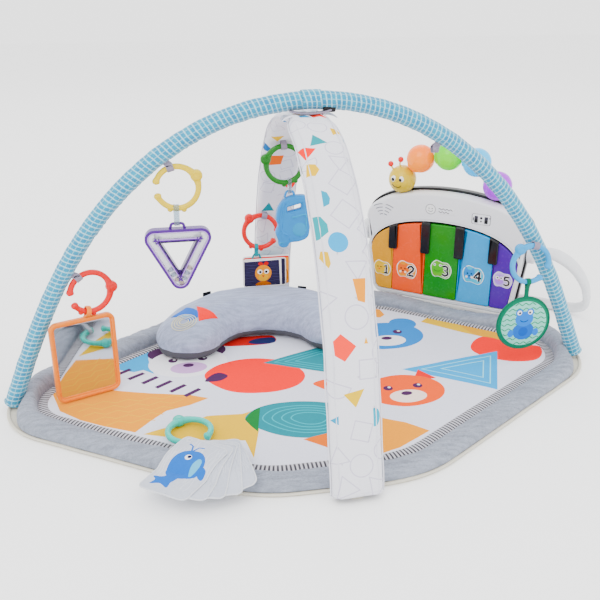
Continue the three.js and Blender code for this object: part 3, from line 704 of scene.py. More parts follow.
def nearest_distance(points, loop):
    """Distance of each point to a closed loop."""
    a = np.array(loop)
    b = np.roll(a, -1, 0)
    run = b - a
    length = (run ** 2).sum(1)
    out = np.full(len(points), 1e9)
    for p, q, size in zip(a, run, length):
        t = np.clip(((points - p) @ q) / size, 0, 1)
        out = np.minimum(out, np.hypot(*(points - p - t[:, None] * q).T))
    return out


look_print = cloth("printed_panel", "print", vary=0.035, weave=1100, sheen=0.15, bump=0.3)
look_rim = cloth("heather_knit", (163, 167, 176), vary=0.2, slub=(1, 1, 9), scale=330, weave=700, bump=0.55,
                 heather=0.28)
look_backing = cloth("cream_backing", (222, 219, 210), vary=0.08)
look_black = plastic("black_plastic", (14, 14, 17), roughness=0.35, coat=0.15)


def flat_place(place, u, w, v):
    """Lays an upright place function down: v runs along the floor and w is the height."""
    return place(u, v, w)


def make_mat():
    edge = mat_outline(2)
    border = resampled(edge, 400)[0]

    panel = printed("mat_print", edge, PALE, mat_print(), 9.0, lambda x, y: Vector((x, y, 0)) * MM,
                    look_print)
    flat = np.array([v.co[:2] for v in panel.data.vertices]) / MM
    for vertex, (x, y), depth in zip(panel.data.vertices, flat, nearest_distance(flat, border)):
        vertex.co.z = panel_height(x, y, float(depth)) * MM
    skirt_down(panel, 3.4)
    settle(panel, "gym", "panel_print", "mat_panel")

    # striped ribbon sewn along the panel's edge
    ribbon_look = Look("striped_ribbon", Roughness=0.8, Sheen_Weight=0.2)
    along = ribbon_look.node("SeparateXYZ", Vector=ribbon_look.node("TexCoord").outputs["UV"]).outputs[0]
    wave = ribbon_look.math("SINE", ribbon_look.math("MULTIPLY", along, TAU / 0.0056))
    factor = ribbon_look.ramp(wave, -0.25, 0.25, 0.0, 1.0)
    thread = ribbon_look.noise(900, detail=3)
    tone = ribbon_look.mix(factor, linear((40, 37, 45)), linear((205, 204, 210)))
    ribbon_look.to(ribbon_look.mix(0.16, tone, thread, "MULTIPLY"), "Base Color")
    ribbon_look.to(ribbon_look.bump(ribbon_look.math("ADD", wave, thread), 0.5, 0.0005), "Normal")
    count = 900
    vertices, values, faces = [], [], []
    profile = [(-8.4, 0.1), (-8.0, 1.0), (-4, 1.5), (0, 1.8), (4, 1.4), (7, 0.7), (9.6, 0.2), (10.4, -0.8)]
    base = [Vector(p) for p in resampled(mat_outline(0, 24), count)[0]]
    outward = [(base[(i + 1) % count] - base[i - 1]).normalized() for i in range(count)]
    rails = [[p + Vector((run.y, -run.x)) * offset for p, run in zip(base, outward)] for offset, _ in profile]
    length = resampled(mat_outline(-3), count)[1]
    for i in range(count):
        for j, (offset, lift) in enumerate(profile):
            x, y = rails[j][i]
            vertices.append(Vector((x, y, panel_height(x, y, 2 - offset) + lift)) * MM)
            values.append((i / count * length * MM, j * 0.002))
    rows = len(profile)
    for i in range(count):
        n = (i + 1) % count
        for j in range(rows - 1):
            faces.append((i * rows + j, n * rows + j, n * rows + j + 1, i * rows + j + 1))
    ribbon = piece("edge_ribbon", vertices, faces, ribbon_look, sharp=None)
    layer = ribbon.data.uv_layers.new(name="UVMap")
    for polygon_ in ribbon.data.polygons:
        last = any(v // rows == count - 1 for v in polygon_.vertices) and any(v // rows == 0 for v in polygon_.vertices)
        for index in polygon_.loop_indices:
            vertex = ribbon.data.loops[index].vertex_index
            u, v = values[vertex]
            layer.data[index].uv = (u + (length * MM if last and vertex // rows == 0 else 0), v)
    settle(ribbon, "gym", "panel_print")

    make_rim()
    backing = slab("backing_cloth", [spaced(mat_outline(48), 14)], 0.2, 3.0, 1.0,
                   lambda u, w, v: Vector((u, v, w)) * MM, look_backing, steps=3)
    area = abs(area_of(mat_outline(48))) * 1e-6
    tongues = []
    for n, (x, y) in enumerate(((0, -305), (-13, 327))):
        yaw = math.atan2(y, x) + math.pi / 2
        outline = rounded(box_corners(-8, 8, 0, 44, 3), 4)
        tongue = slab(f"backing_tongue_{n + 1}", [outline], 0.2, 2.8, 0.8,
                      lambda u, w, v, p=local(x, y, 0, yaw): flat_place(p, u, w, v), look_backing, steps=2)
        settle(tongue, "gym", "backing_cloth")
        tongues.append(tongue)
    settle(backing, "gym", "backing_cloth", "mat_backing")
    # stitched lip with soft folds where the backing meets the rim
    lip_path = resampled(mat_outline(47), 520)[0]
    lip = tube("backing_lip", [Vector((x, y, 3.6 + 0.9 * noise.noise(Vector((x / 30, y / 30, 0))))) * MM
                               for x, y in lip_path],
               lambda i: [(2.6 * math.cos(TAU * k / 10), 1.7 * math.sin(TAU * k / 10)) for k in range(10)],
               look_backing, closed=True)
    settle(lip, "gym", "backing_cloth")


def skirt_down(made, bottom):
    """Closes an open sheet into a solid: its border drops to a flat underside."""
    work = bmesh.new()
    work.from_mesh(made.data)
    rim = [edge for edge in work.edges if edge.is_boundary]
    layer = work.loops.layers.float_color.get("print")
    result = bmesh.ops.extrude_edge_only(work, edges=rim)
    low = [v for v in result["geom"] if isinstance(v, bmesh.types.BMVert)]
    for vertex in low:
        vertex.co.z = bottom * MM
    loops = [edge for edge in work.edges if edge.is_boundary]
    filled = bmesh.ops.holes_fill(work, edges=loops, sides=0)
    for face in result["geom"] + filled["faces"]:
        if isinstance(face, bmesh.types.BMFace):
            for loop in face.loops:
                if layer:
                    loop[layer] = (0.8, 0.8, 0.82, 1.0)
    bmesh.ops.triangulate(work, faces=filled["faces"])
    bmesh.ops.recalc_face_normals(work, faces=work.faces)
    work.to_mesh(made.data)
    work.free()
    made.data.shade_smooth()
    made.data.set_sharp_from_angle(angle=math.radians(50))


def rim_width(x, y, reach):
    """How far out the padded rim reaches: it is pinched where the blue arch stands."""
    pinch = max(math.exp(-((x - fx) ** 2 + (y - fy) ** 2) / 46 ** 2) for fx, fy in FEET)
    return reach * (1 - 0.52 * pinch)


def rim_height(x, y):
    """Crest of the rim: pressed low at the front and before the piano, full at the tips and under the cards."""
    front = min(1.0, max(0.0, (30 - y) / 80))
    front = front * front * (3 - 2 * front)
    piano = math.exp(-((x - 305) ** 2 + (y - 170) ** 2) / 105 ** 2)
    tips = min(math.hypot(x + 452, y + 10), math.hypot(x - 464, y - 26))
    cards = math.exp(-((x + 190) ** 2 + (y + 205) ** 2) / 62 ** 2)
    return 28.5 - 11.5 * max(front, piano) * (1 - math.exp(-(tips / 130) ** 2)) * (1 - cards)


def make_rim():
    count, around = 1100, 30
    full_reach, seat, length = 42.5, 7.4, 2900
    inner, _ = resampled(mat_outline(4, 24), count)
    # each section stands on the panel's outline and runs straight out from it
    vertices, faces = [], []
    for i, (x, y) in enumerate(inner):
        before, after = Vector(inner[i - 1]), Vector(inner[(i + 1) % count])
        run = (after - before).normalized()
        out = Vector((run.y, -run.x))
        reach = rim_width(x + out.x * 30, y + out.y * 30, full_reach)
        start = 5.0 * (reach / full_reach) ** 2
        width = reach - start
        crest = rim_height(x + out.x * 25, y + out.y * 25)
        s = i / count * length
        lump = noise.noise(Vector((s / 90, 3.1, 0))) * 1.3
        for k in range(around):
            angle = math.pi - TAU * k / around
            c, h = math.cos(angle), math.sin(angle)
            across = 0.5 + 0.5 * math.copysign(abs(c) ** 0.85, c)
            if h >= 0:
                up = seat + (crest - seat) * h ** 0.8 + lump * h
            else:
                up = seat - 3.8 * abs(h) ** 0.6
            near_in, near_out = math.exp(-((across - 0.02) / 0.2) ** 2), math.exp(-((across - 0.98) / 0.26) ** 2)
            seam = near_in + near_out
            fine = noise.noise(Vector((s / 7.0, across * 2.0, 11.0))) + 0.8 * noise.noise(
                Vector((s / 12.0 + across * 2.2, across * 1.1, 31.0)))
            broad = noise.noise(Vector((s / 26.0 - across * 1.9, across * 1.5, 17.0)))
            swell = (fine * (0.5 + 1.5 * seam) + broad * (1.9 + 0.6 * seam)) * max(h, 0.0) ** 0.5
            place = Vector((x,
                            y)) + out * (start + across * width - 0.4 * swell * (1 if across > 0.5 else -1))
            vertices.append(Vector((place.x, place.y, min(30.0, max(3.3, up + 0.95 * swell)))) * MM)
    for i in range(count):
        n = (i + 1) % count
        for k in range(around):
            m = (k + 1) % around
            faces.append((i * around + k, i * around + m, n * around + m, n * around + k))
    rim = piece("padded_rim", vertices, faces, look_rim, sharp=None)
    settle(rim, "gym", "rim_knit", "mat_rim")
    # piping in the seam between rim and panel
    path, _ = resampled(mat_outline(9.8, 24), 700)
    cord = tube("rim_piping", [Vector((x, y, 7.6)) * MM for x, y in path],
                lambda i: [(1.2 * math.cos(TAU * k / 8), 1.1 * math.sin(TAU * k / 8)) for k in range(8)],
                look_rim, closed=True)
    settle(cord, "gym", "rim_knit")


make_mat()


# ---------- tummy pillow ----------
PILLOW_CENTRE, PILLOW_RADIUS, PILLOW_FROM, PILLOW_TO = (-60, 58), 148, 0.49, 2.55
look_pillow = cloth("soft_minky", (181, 187, 205), vary=0.12, slub=(9, 1, 1), scale=300, weave=650,
                    sheen=0.45,
                    bump=0.5, heather=0.26)
look_pillow_under = cloth("pillow_underside", (88, 88, 92), vary=0.1)


def cloth_puff(made, pressure=4.0, cap=7.0, voxel=5.0):
    """Remeshes a closed pad and lets simulated cloth swell it, moving no point further than cap."""
    remesh = made.modifiers.new("remesh", "REMESH")
    remesh.mode, remesh.voxel_size = "VOXEL", voxel * MM
    depsgraph = bpy.context.evaluated_depsgraph_get()
    mesh = bpy.data.meshes.new_from_object(made.evaluated_get(depsgraph))
    made.modifiers.clear()
    made.data = mesh
    start = np.array([v.co[:] for v in mesh.vertices])
    sim = made.modifiers.new("cloth", "CLOTH")
    sim.settings.use_pressure = True
    sim.settings.uniform_pressure_force = pressure
    sim.settings.effector_weights.gravity = 0
    sim.settings.quality = 5
    sim.settings.tension_stiffness = 12
    sim.settings.bending_stiffness = 0.12
    sim.collision_settings.use_collision = False
    sim.point_cache.frame_start, sim.point_cache.frame_end = 1, 20
    for step in range(1, 21):
        scene.frame_set(step)
    depsgraph = bpy.context.evaluated_depsgraph_get()
    puffed = bpy.data.meshes.new_from_object(made.evaluated_get(depsgraph))
    made.modifiers.clear()
    made.data = puffed
    end = np.array([v.co[:] for v in puffed.vertices])
    move = end - start
    size = np.linalg.norm(move, axis=1, keepdims=True)
    move *= np.minimum(1.0, cap * MM / np.maximum(size, 1e-9))
    puffed.vertices.foreach_set("co", (start + move).ravel())
    puffed.update()
    scene.frame_set(1)
    return made


def make_pillow():
    hw, base, seam_z, top = 56.0, 10.4, 25.0, 74.5
    reach = PILLOW_RADIUS * (PILLOW_TO - PILLOW_FROM) / 2
    middle = (PILLOW_FROM + PILLOW_TO) / 2
    rows, around = 90, 40
    vertices, faces = [], []
    for i in range(rows + 1):
        t = -1 + 2 * i / rows
        s = t * (reach + hw)
        over = max(0.0, abs(s) - reach)
        shrink = math.sqrt(max(0.0, 1 - (over / hw) ** 2))
        angle = middle - s / PILLOW_RADIUS if over == 0 else middle - math.copysign(reach, s) / PILLOW_RADIUS
        radial = Vector((math.cos(angle), math.sin(angle)))
        tangent = Vector((radial.y, -radial.x)) * math.copysign(1, s)
        spine = Vector(PILLOW_CENTRE) + radial * PILLOW_RADIUS + tangent * over
        for k in range(around):
            phi = TAU * k / around
            c, h = math.cos(phi), math.sin(phi)
            if h >= 0:
                a = hw * shrink * math.copysign(abs(c) ** 0.82, c)
                up = seam_z + (top - 16 * abs(t) ** 3 - seam_z) * max(shrink, 0.02) ** 0.6 * h ** 0.78
            else:
                a = (hw - 3 * min(1, 2.2 * abs(h))) * shrink * math.copysign(abs(c) ** 0.5, c)
                up = seam_z - (seam_z - base) * min(1.0, 1.5 * abs(h))
            spot = spine + radial * (a if a > 0 else a * 1.1)
            vertices.append(Vector((spot.x, spot.y, up)) * MM)
    for i in range(rows):
        for k in range(around):
            n = (k + 1) % around
            faces.append((i * around + k, i * around + n, (i + 1) * around + n, (i + 1) * around + k))
    pillow = piece("tummy_pillow", vertices, faces, look_pillow, merge=1e-5, sharp=None)
    cloth_puff(pillow, cap=6.0)
    mesh = pillow.data
    coords = np.array([v.co[:] for v in mesh.vertices]) / MM
    for index, (x, y, z) in enumerate(coords):
        dx, dy = x - PILLOW_CENTRE[0], y - PILLOW_CENTRE[1]
        angle, radius = math.atan2(dy, dx), math.hypot(dx, dy)
        s = angle * PILLOW_RADIUS
        seam = math.exp(-((z - 28) / 10) ** 2)
        tuck = noise.noise(Vector((s / 9, z / 26, 4.0))) * 1.9 * seam + noise.noise(
            Vector((s / 26, radius / 26, z / 50))) * 1.6
        pinch = -2.4 * math.exp(-((z - seam_z) / 2.4) ** 2)
        normal = Vector(mesh.vertices[index].normal)
        spot = Vector((x, y, z)) + normal * (tuck + pinch)
        # it lies flat on the panel
        spot.z = min(max(spot.z, base + 0.4 * noise.noise(Vector((x / 20, y / 20, 1)))), top + 1.5)
        coords[index] = spot
    mesh.vertices.foreach_set("co", (coords * MM).ravel())
    work = bmesh.new()
    work.from_mesh(mesh)
    bmesh.ops.bisect_plane(work, geom=work.verts[:] + work.edges[:] + work.faces[:],
                           plane_co=(0, 0, seam_z * MM), plane_no=(0, 0, 1))
    mesh.materials.clear()
    mesh.materials.append(look_pillow.material)
    mesh.materials.append(look_pillow_under.material)
    for face in work.faces:
        face.material_index = 1 if face.calc_center_median().z < seam_z * MM else 0
    bmesh.ops.recalc_face_normals(work, faces=work.faces)
    work.to_mesh(mesh)
    work.free()
    mesh.shade_smooth()
    crown(pillow)
    settle(pillow, "pillow_body", "pillow_cloth", "pillow")
    depsgraph = bpy.context.evaluated_depsgraph_get()
    tree = BVHTree.FromObject(pillow, depsgraph)

    def on_pillow(x, y, lift=0.5):
        hit, normal, *_ = tree.ray_cast(Vector((x, y, 200)) * MM, Vector((0, 0, -1)))
        if hit is None:
            return Vector((x, y, 40)) * MM
        return hit + normal * lift * MM

    # satin appliques: a fan, a leaf and stitched rings
    applique = cloth("pillow_applique", "print", vary=0.05, weave=1300, sheen=0.4)
    fan = [(-178, 118.5), (-164, 127.5), (-162.5, 142), (-169, 153), (-181, 166), (-196, 152), (-208, 143.5),
           (-193, 134)]
    leaf = [(-163.5, 117.5), (-147, 122), (-131, 129.5), (-137.5, 137.5), (-147.5, 145), (-164, 159),
            (-163.5, 138)]
    first = printed("pillow_fan", spaced(fan, 3), (0, 120, 205),
                    [((40, 190, 235), stroke([(-187 + 1.06 * r * math.cos(a), 121 + r * math.sin(a))
                                              for a in np.linspace(0.4, 1.9, 16)], 1.6)) for r in (11, 15)],
                    3.0, on_pillow, applique, wall=0.5)
    second = printed("pillow_leaf", spaced(leaf, 3), CORAL, [], 3.0, on_pillow, applique, wall=0.5)
    for item in (first, second):
        settle(item, "pillow_body", "pillow_cloth")
    thread = cloth("cream_thread", (232, 228, 205), vary=0.05)
    for n, radius in enumerate((7, 11, 15, 19)):
        ring = [on_pillow(-187.5 + radius * math.cos(a) * 1.06, 121 + radius * math.sin(a) * 0.9, 0.6)
                for a in np.linspace(0, TAU, 48, endpoint=False)]
        item = tube(f"pillow_stitch_{n + 1}", ring,
                    lambda i: [(0.8 * math.cos(TAU * k / 6), 0.5 * math.sin(TAU * k / 6)) for k in range(6)],
                    thread, closed=True, uv=False)
        settle(item, "pillow_body", "pillow_cloth")
    # black care tabs in the back seam
    tab_look = woven("black_tab", (26, 26, 30))
    for n, (x, y) in enumerate(((-143, 236), (34, 236))):
        dx, dy = x - PILLOW_CENTRE[0], y - PILLOW_CENTRE[1]
        yaw = math.atan2(dy, dx) - math.pi / 2
        hit, normal, *_ = tree.ray_cast(
            Vector((x + dx, y + dy, 58)) * MM, -Vector((dx, dy, 0)).normalized())
        spot = hit / MM
        tab = slab(f"pillow_tab_{n + 1}", [rounded(box_corners(-8, 8, -1.0, 12, 1.0), 3)], -0.7, 0.7, 0.3,
                   local(spot.x, spot.y, spot.z, yaw), tab_look, steps=2)
        settle(tab, "pillow_body", "pillow_cloth")


make_pillow()


# ---------- arches ----------
class Rod:
    """A springy rod bent between its ends, by distance along it in millimetres."""

    def __init__(self, half_span, height, end_slope, steps=400):
        modulus = math.sin(end_slope / 2)
        raw, x, z = [], 0.0, 0.0
        for i in range(steps + 1):
            phase = -math.pi / 2 + math.pi * i / steps
            slope = -2 * math.asin(modulus * math.sin(phase))
            pace = 1 / math.sqrt(1 - (modulus * math.sin(phase)) ** 2)
            raw.append((x, z))
            x += math.cos(slope) * pace
            z += math.sin(slope) * pace
        wide, tall = raw[steps][0], raw[steps // 2][1]
        self.xs = np.array([(2 * rx / wide - 1) * half_span for rx, _ in raw])
        self.zs = np.array([rz / tall * height for _, rz in raw])
        step = np.hypot(np.diff(self.xs), np.diff(self.zs))
        self.along = np.concatenate([[0], np.cumsum(step)])
        self.length = float(self.along[-1])

    def at(self, s):
        """Position, forward direction and outward direction at s."""
        def spot(value):
            return Vector((float(np.interp(value, self.along, self.xs)),
                           float(np.interp(value, self.along, self.zs))))
        run = (spot(min(s + 2, self.length)) - spot(max(s - 2, 0))).normalized()
        return spot(s), run, Vector((-run.y, run.x))

    def foot(self, height):
        return float(np.interp(height, self.zs[:200], self.along[:200]))


BLUE_ROD = Rod(452, 438, 1.19)
WHITE_ROD = Rod(316, 411, 1.34)
WHITE_AT, WHITE_YAW = Vector((-6.5, 11, 0)), math.pi / 2 + 0.019
WHITE_ALONG = Vector((math.cos(WHITE_YAW), math.sin(WHITE_YAW), 0))
WHITE_LEFT = Vector((-math.sin(WHITE_YAW), math.cos(WHITE_YAW), 0))


def in_blue(s, side, out):
    """Point by distance along the blue arch, distance towards the front, and outward, in millimetres."""
    spot, _, normal = BLUE_ROD.at(s)
    return Vector((spot.x + normal.x * out, -side, spot.y + normal.y * out))


def in_white(s, left, out):
    spot, _, normal = WHITE_ROD.at(s)
    return WHITE_AT + WHITE_ALONG * (spot.x + normal.x * out) + WHITE_LEFT * left + Vector(
        (0, 0, spot.y + normal.y * out))


def blue_look(name):
    look = Look(name, Roughness=0.82, Sheen_Weight=0.3, Specular_IOR_Level=0.25)
    split = look.node("SeparateXYZ", Vector=look.node("TexCoord").outputs["UV"])
    along, around = split.outputs[0], split.outputs[1]
    sway = look.noise(70, detail=1.0)
    lean = look.math("ADD", look.math("MULTIPLY", around, 0.16), look.math("MULTIPLY", sway, 0.0035))
    wave = look.math("FRACT", look.math("MULTIPLY", look.math("ADD", along, lean), 1 / 0.0070))
    line = look.ramp(look.math("ABSOLUTE", look.math("SUBTRACT", wave, 0.5)), 0.10, 0.17, 1.0, 0.0)
    gaps = look.math("FRACT", look.math("MULTIPLY", around, 1 / 0.0079))
    stitch = look.ramp(look.math("ABSOLUTE", look.math("SUBTRACT", gaps, 0.5)), 0.40, 0.46, 1.0, 0.5)
    short = look.ramp(look.math("ABSOLUTE", look.math("SUBTRACT", gaps, 0.5)), 0.05, 0.10, 0.55, 0.0)
    mask = look.math("MAXIMUM", look.math("MULTIPLY", line, stitch), short)
    threads = look.noise(900, detail=3.0)
    patch = look.noise(120, detail=3.0)
    blue = look.mix(look.ramp(patch, 0.35, 0.7, 0.0, 1.0), linear((62, 156, 192)), linear((98, 184, 210)))
    colour = look.mix(look.math("MULTIPLY", mask, 0.85), blue, linear((214, 242, 250)))
    look.to(look.mix(0.22, colour, threads, "MULTIPLY"), "Base Color")
    folds = look.noise(160, look.place((1, 1, 1)), 3.0)
    first = look.bump(folds, 0.35, 0.0012)
    look.to(look.bump(look.math("ADD", threads, mask), 0.35, 0.0003, first), "Normal")
    return look


look_blue = blue_look("gathered_blue_cloth")


def blue_tube(name, s0, s1, radius, step, puff, welt):
    """Gathered tube: puckers run round it and a sewn welt runs along its inner side."""
    count = int((s1 - s0) / step)
    around = 32
    vertices, values, faces = [], [], []
    for i in range(count + 1):
        s = s0 + (s1 - s0) * i / count
        for k in range(around + 1):
            phi = -math.pi / 2 + TAU * k / around
            turn = TAU * k / around
            ring = noise.noise(Vector((s / 4.2, math.cos(phi) * 0.9, math.sin(phi) * 0.9)))
            broad = noise.noise(Vector((s / 17, math.cos(phi) * 0.7 + 5, math.sin(phi) * 0.7)))
            seam = math.exp(-(min(turn, TAU - turn) / 0.24) ** 2)
            near = math.exp(-(min(turn, TAU - turn) / 0.8) ** 2)
            r = radius + puff * (ring * (0.6 + 0.9 * near) + 1.2 * broad)
            r += welt * seam * (1 + 0.25 * noise.noise(Vector((s / 7, 2, 9))))
            vertices.append(in_blue(s, r * math.cos(phi), r * math.sin(phi)) * MM)
            values.append((s * MM, turn * radius * MM))
    for i in range(count):
        for k in range(around):
            a = i * (around + 1) + k
            faces.append((a, a + around + 1, a + around + 2, a + 1))
    made = piece(name, vertices, faces, look_blue, sharp=None, tidy=False)
    uv_from(made.data, values)
    wall = made.modifiers.new("wall", "SOLIDIFY")
    wall.thickness, wall.offset = 0.6 * MM, -1.0
    return made


def make_blue_arch():
    start = BLUE_ROD.foot(8.0)
    sleeve = blue_tube("gathered_sleeve", start, BLUE_ROD.length - start, 11.4, 1.9, 0.55, 2.2)
    settle(sleeve, "gym", "blue_cloth", "blue_sleeve")
    # closed hems at both feet
    for n, s in enumerate((start + 3, BLUE_ROD.length - start - 3)):
        ring = [in_blue(s, 12.0 * math.cos(a), 12.0 * math.sin(a)) * MM
                for a in np.linspace(0, TAU, 40, endpoint=False)]
        hem = tube(f"sleeve_hem_{n + 1}", ring,
                   lambda i: [(1.3 * math.cos(TAU * k / 8), 1.3 * math.sin(TAU * k / 8)) for k in range(8)],
                   look_blue, closed=True, up=(1, 0, 0))
        settle(hem, "gym", "blue_cloth")
    middle = BLUE_ROD.length / 2
    band = blue_tube("crossing_band", middle - 13, middle + 13, 13.3, 1.3, 0.2, 0.0)
    settle(band, "gym", "blue_cloth", "crossing_strap")
    # snap buckle and webbing tail under the crossing
    buckle = slab("crossing_buckle", [rounded(box_corners(-9, 9, -4, 4, 2.5), 5)], -3, 3, 1.4,
                  local(24, -4, 424.5, 0.15), look_black, steps=3)
    settle(buckle, "gym", "black_plastic")
    tail = [Vector((x, y, z)) * MM for x, y, z in (
        (-32, -7, 424), (-20, -8, 421.5), (-6, -9, 420.5), (8, -9, 421), (18, -7, 422.5), (24, -4, 424))]
    strap = tube("crossing_tail", smooth_path(tail, 6), lambda i: box_section(5.5, 0.9), look_strap,
                 up=(0, 0, 1))
    settle(strap, "gym", "grey_webbing")


def smooth_path(points, per):
    """Open Catmull-Rom curve through the points."""
    spots = [points[0]] + list(points) + [points[-1]]
    out = []
    for p0, p1, p2, p3 in zip(spots, spots[1:], spots[2:], spots[3:]):
        for k in range(per):
            t = k / per
            out.append(0.5 * ((2 * p1) + (p2 - p0) * t + (2 * p0 - 5 * p1 + 4 * p2 - p3) * t * t
                              + (3 * p1 - p0 - 3 * p2 + p3) * t ** 3))
    return out + [points[-1]]


def box_section(half_wide, half_thick, soft_edge=0.5):
    radius = min(half_thick, half_wide) * soft_edge
    return rounded([(-half_wide, -half_thick, radius), (half_wide, -half_thick, radius),
                    (half_wide, half_thick, radius), (-half_wide, half_thick, radius)], 2)


def disc_section(radius, count=14):
    return [(radius * math.cos(TAU * k / count), radius * math.sin(TAU * k / count)) for k in range(count)]


look_strap = woven("grey_webbing", (158, 152, 164), pitch=0.0014)
make_blue_arch()


# ---------- white sleeve ----------
GREY_LINE = (214, 211, 222)
PALE_YELLOW = (255, 222, 92)


def outline_shape(kind, s, e, r, turn, width=1.5):
    if kind == "circle":
        return stroke(circle(s, e, r * 0.92, 40), width, True)
    if kind == "half":
        points = [(s + r * math.cos(a + turn), e + r * math.sin(a + turn)) for a in np.linspace(0, math.pi,
                                                                                                24)]
        return stroke(points, width, True)
    sides = {"triangle": 3, "diamond": 4, "pentagon": 5}[kind]
    return stroke(polygon(s, e, r, sides, turn), width, True)


def sleeve_print(length, around):
    """Shapes by distance along the sleeve and round it, 0 at the middle of the outer face, left positive."""
    shapes, half = [], around / 2
    inner = lambda left: half - left if left >= 0 else -half - left
    solid = [
        ((0, 172, 180), polygon(467, 6, 14, 3, 0.2)), (CORAL, polygon(447, 24, 15, 3, 0.9)),
        ((255, 112, 108), [(556, -4), (549, 2), (536, -6), (531, -22), (541, -30), (551, -24)]),
        (PALE_YELLOW, [(425, 27), (424, 16), (416, 12), (406, 19), (408, 31)]),
        ((20, 178, 205), [(385, 16), (382, 9), (374, 6), (366, 8), (362, 16)]),
        ((10, 182, 190), [(352, 32), (350, 22), (340, 15), (330, 15), (322, 27), (322, 32)]),
        ((0, 190, 238), circle(317, 5, 12.5, 40)),
        (PALE_YELLOW, [(308, 28), (306, 19), (292, 17), (286, 20), (300, 31)]),
        ((255, 188, 92), [(272, -23), (272, -7), (246, -11), (243, -20)]),
        ((255, 205, 95), [(203, -17), (195, -14), (195, -19)]),
        ((255, 122, 116), [(209, 14), (193, -4), (176, 11), (184, 23), (201, 24)]),
        ((255, 226, 78), [(142, -12), (137, 14), (120, 0)]),
        ((0, 176, 212), [(112, 22), (101, 22), (106, 33)]),
        ((0, 190, 214), [(117, -21)] + [(106 + 11.5 * math.cos(a), -21 - 11 * math.sin(a))
                                        for a in np.linspace(0.2, math.pi, 14)]),
        ((255, 215, 110), [(560, 20), (552, 12), (545, 20), (550, 28)]),
        ((30, 160, 205), [(545, 14), (535, -2), (531, 6), (538, 18)]),
        ((40, 165, 210), [(553, -32), (546, -38), (538, -32), (547, -26)]),
        (PALE_YELLOW, polygon(488, -24, 11, 3, 2.6)),
        ((90, 195, 215), polygon(478, -39, 7, 4, 0.4)),
    ]
    rear = [
        ((0, 150, 200), [(585, 38), (604, 30), (612, 16), (598, 20), (590, 24)]),
        (CORAL, polygon(700, -16, 13, 3, 0.4)), (PALE_YELLOW, polygon(712, 16, 12, 3, 2.0)),
        ((0, 130, 190), circle(752, 32, 10, 30)), ((255, 150, 45), [(772, 26), (772, -2), (796, 0), (798,
                                                                                                     22)]),
        (CORAL, polygon(850, -22, 12, 5, 0.1)), ((0, 160, 170), polygon(905, 14, 13, 3, 1.1)),
        ((255, 215, 90), polygon(960, -12, 12, 4, 0.4)),
    ]
    hidden = [
        (SKY, circle(700, 10, 12, 36)), (CORAL, polygon(640, -16, 13, 3, 0.4)),
        (PALE_YELLOW, polygon(760, 14, 12, 5, 1.0)), (TEAL, polygon(830, -10, 13, 3, 2.2)),
        ((255, 150, 45), polygon(900, 12, 12, 4, 0.3)), (SKY, polygon(980, -14, 12, 3, 0.8)),
    ]
    # keep print off the inner face of the front leg's places that already have shapes
    placed = [(sum(p[0] for p in loop) / len(loop), sum(p[1] for p in loop) / len(loop)) for _, loop in solid]
    placed += [(sum(p[0] for p in loop) / len(loop), inner(sum(p[1] for p in loop) / len(loop)))
               for _, loop in rear]
    placed += [(sum(p[0] for p in loop) / len(loop), sum(p[1] for p in loop) / len(loop)) for _,
               loop in hidden]
    kinds = ["circle", "diamond", "triangle", "half", "diamond", "circle", "triangle"]
    dice = random.Random(4)
    fixed = [("circle", 47, -4, 15.5, 0.0), ("circle", 227, -8, 15.5, 0.0), ("triangle", 285, -14, 15, 3.1),
             ("diamond", 352, -10, 19, 0.05), ("diamond", 396, -14, 19, 0.1), ("triangle", 428, -16, 15, 3.0),
             ("circle", 452, -14, 13, 0.0), ("circle", 500, -2, 14, 0.0), ("half", 150, 20, 17, 1.2),
             ("diamond", 90, -6, 16, 0.5), ("triangle", 20, 16, 17, 0.3), ("triangle", 18, -24, 17, 2.8),
             ("diamond", 165, -18, 16, 0.8), ("half", 430, 26, 13, 2.0), ("triangle", 250, 30, 16, 0.6)]
    for kind, s, e, r, turn in fixed:
        shapes.append((GREY_LINE, outline_shape(kind, s, e, r, turn)))
        placed.append((s, e))
    for row, s in enumerate(np.arange(16, length, 30.0)):
        for column, e in enumerate(np.arange(-half + 8, half, 29.0)):
            s1, e1 = s + (15 if column % 2 else 0) + dice.uniform(-3, 3), e + dice.uniform(-3, 3)
            if any(math.hypot(s1 - a, e1 - b) < 25 for a, b in placed) or abs(e1) > half - 4:
                continue
            kind = kinds[(row * 3 + column * 2) % len(kinds)]
            r = 13.5 if kind == "circle" else 14.5
            shapes.append((GREY_LINE, outline_shape(kind, s1, e1, r, dice.uniform(0, 3))))
            placed.append((s1, e1))
    for colour, loop in solid + hidden:
        shapes.append((colour, [loop]))
    for colour, loop in rear:
        shifted = [(s, half - left) for s, left in loop]
        shapes.append((colour, [shifted]))
        shapes.append((colour, [[(s, e - around) for s, e in shifted]]))
    return shapes


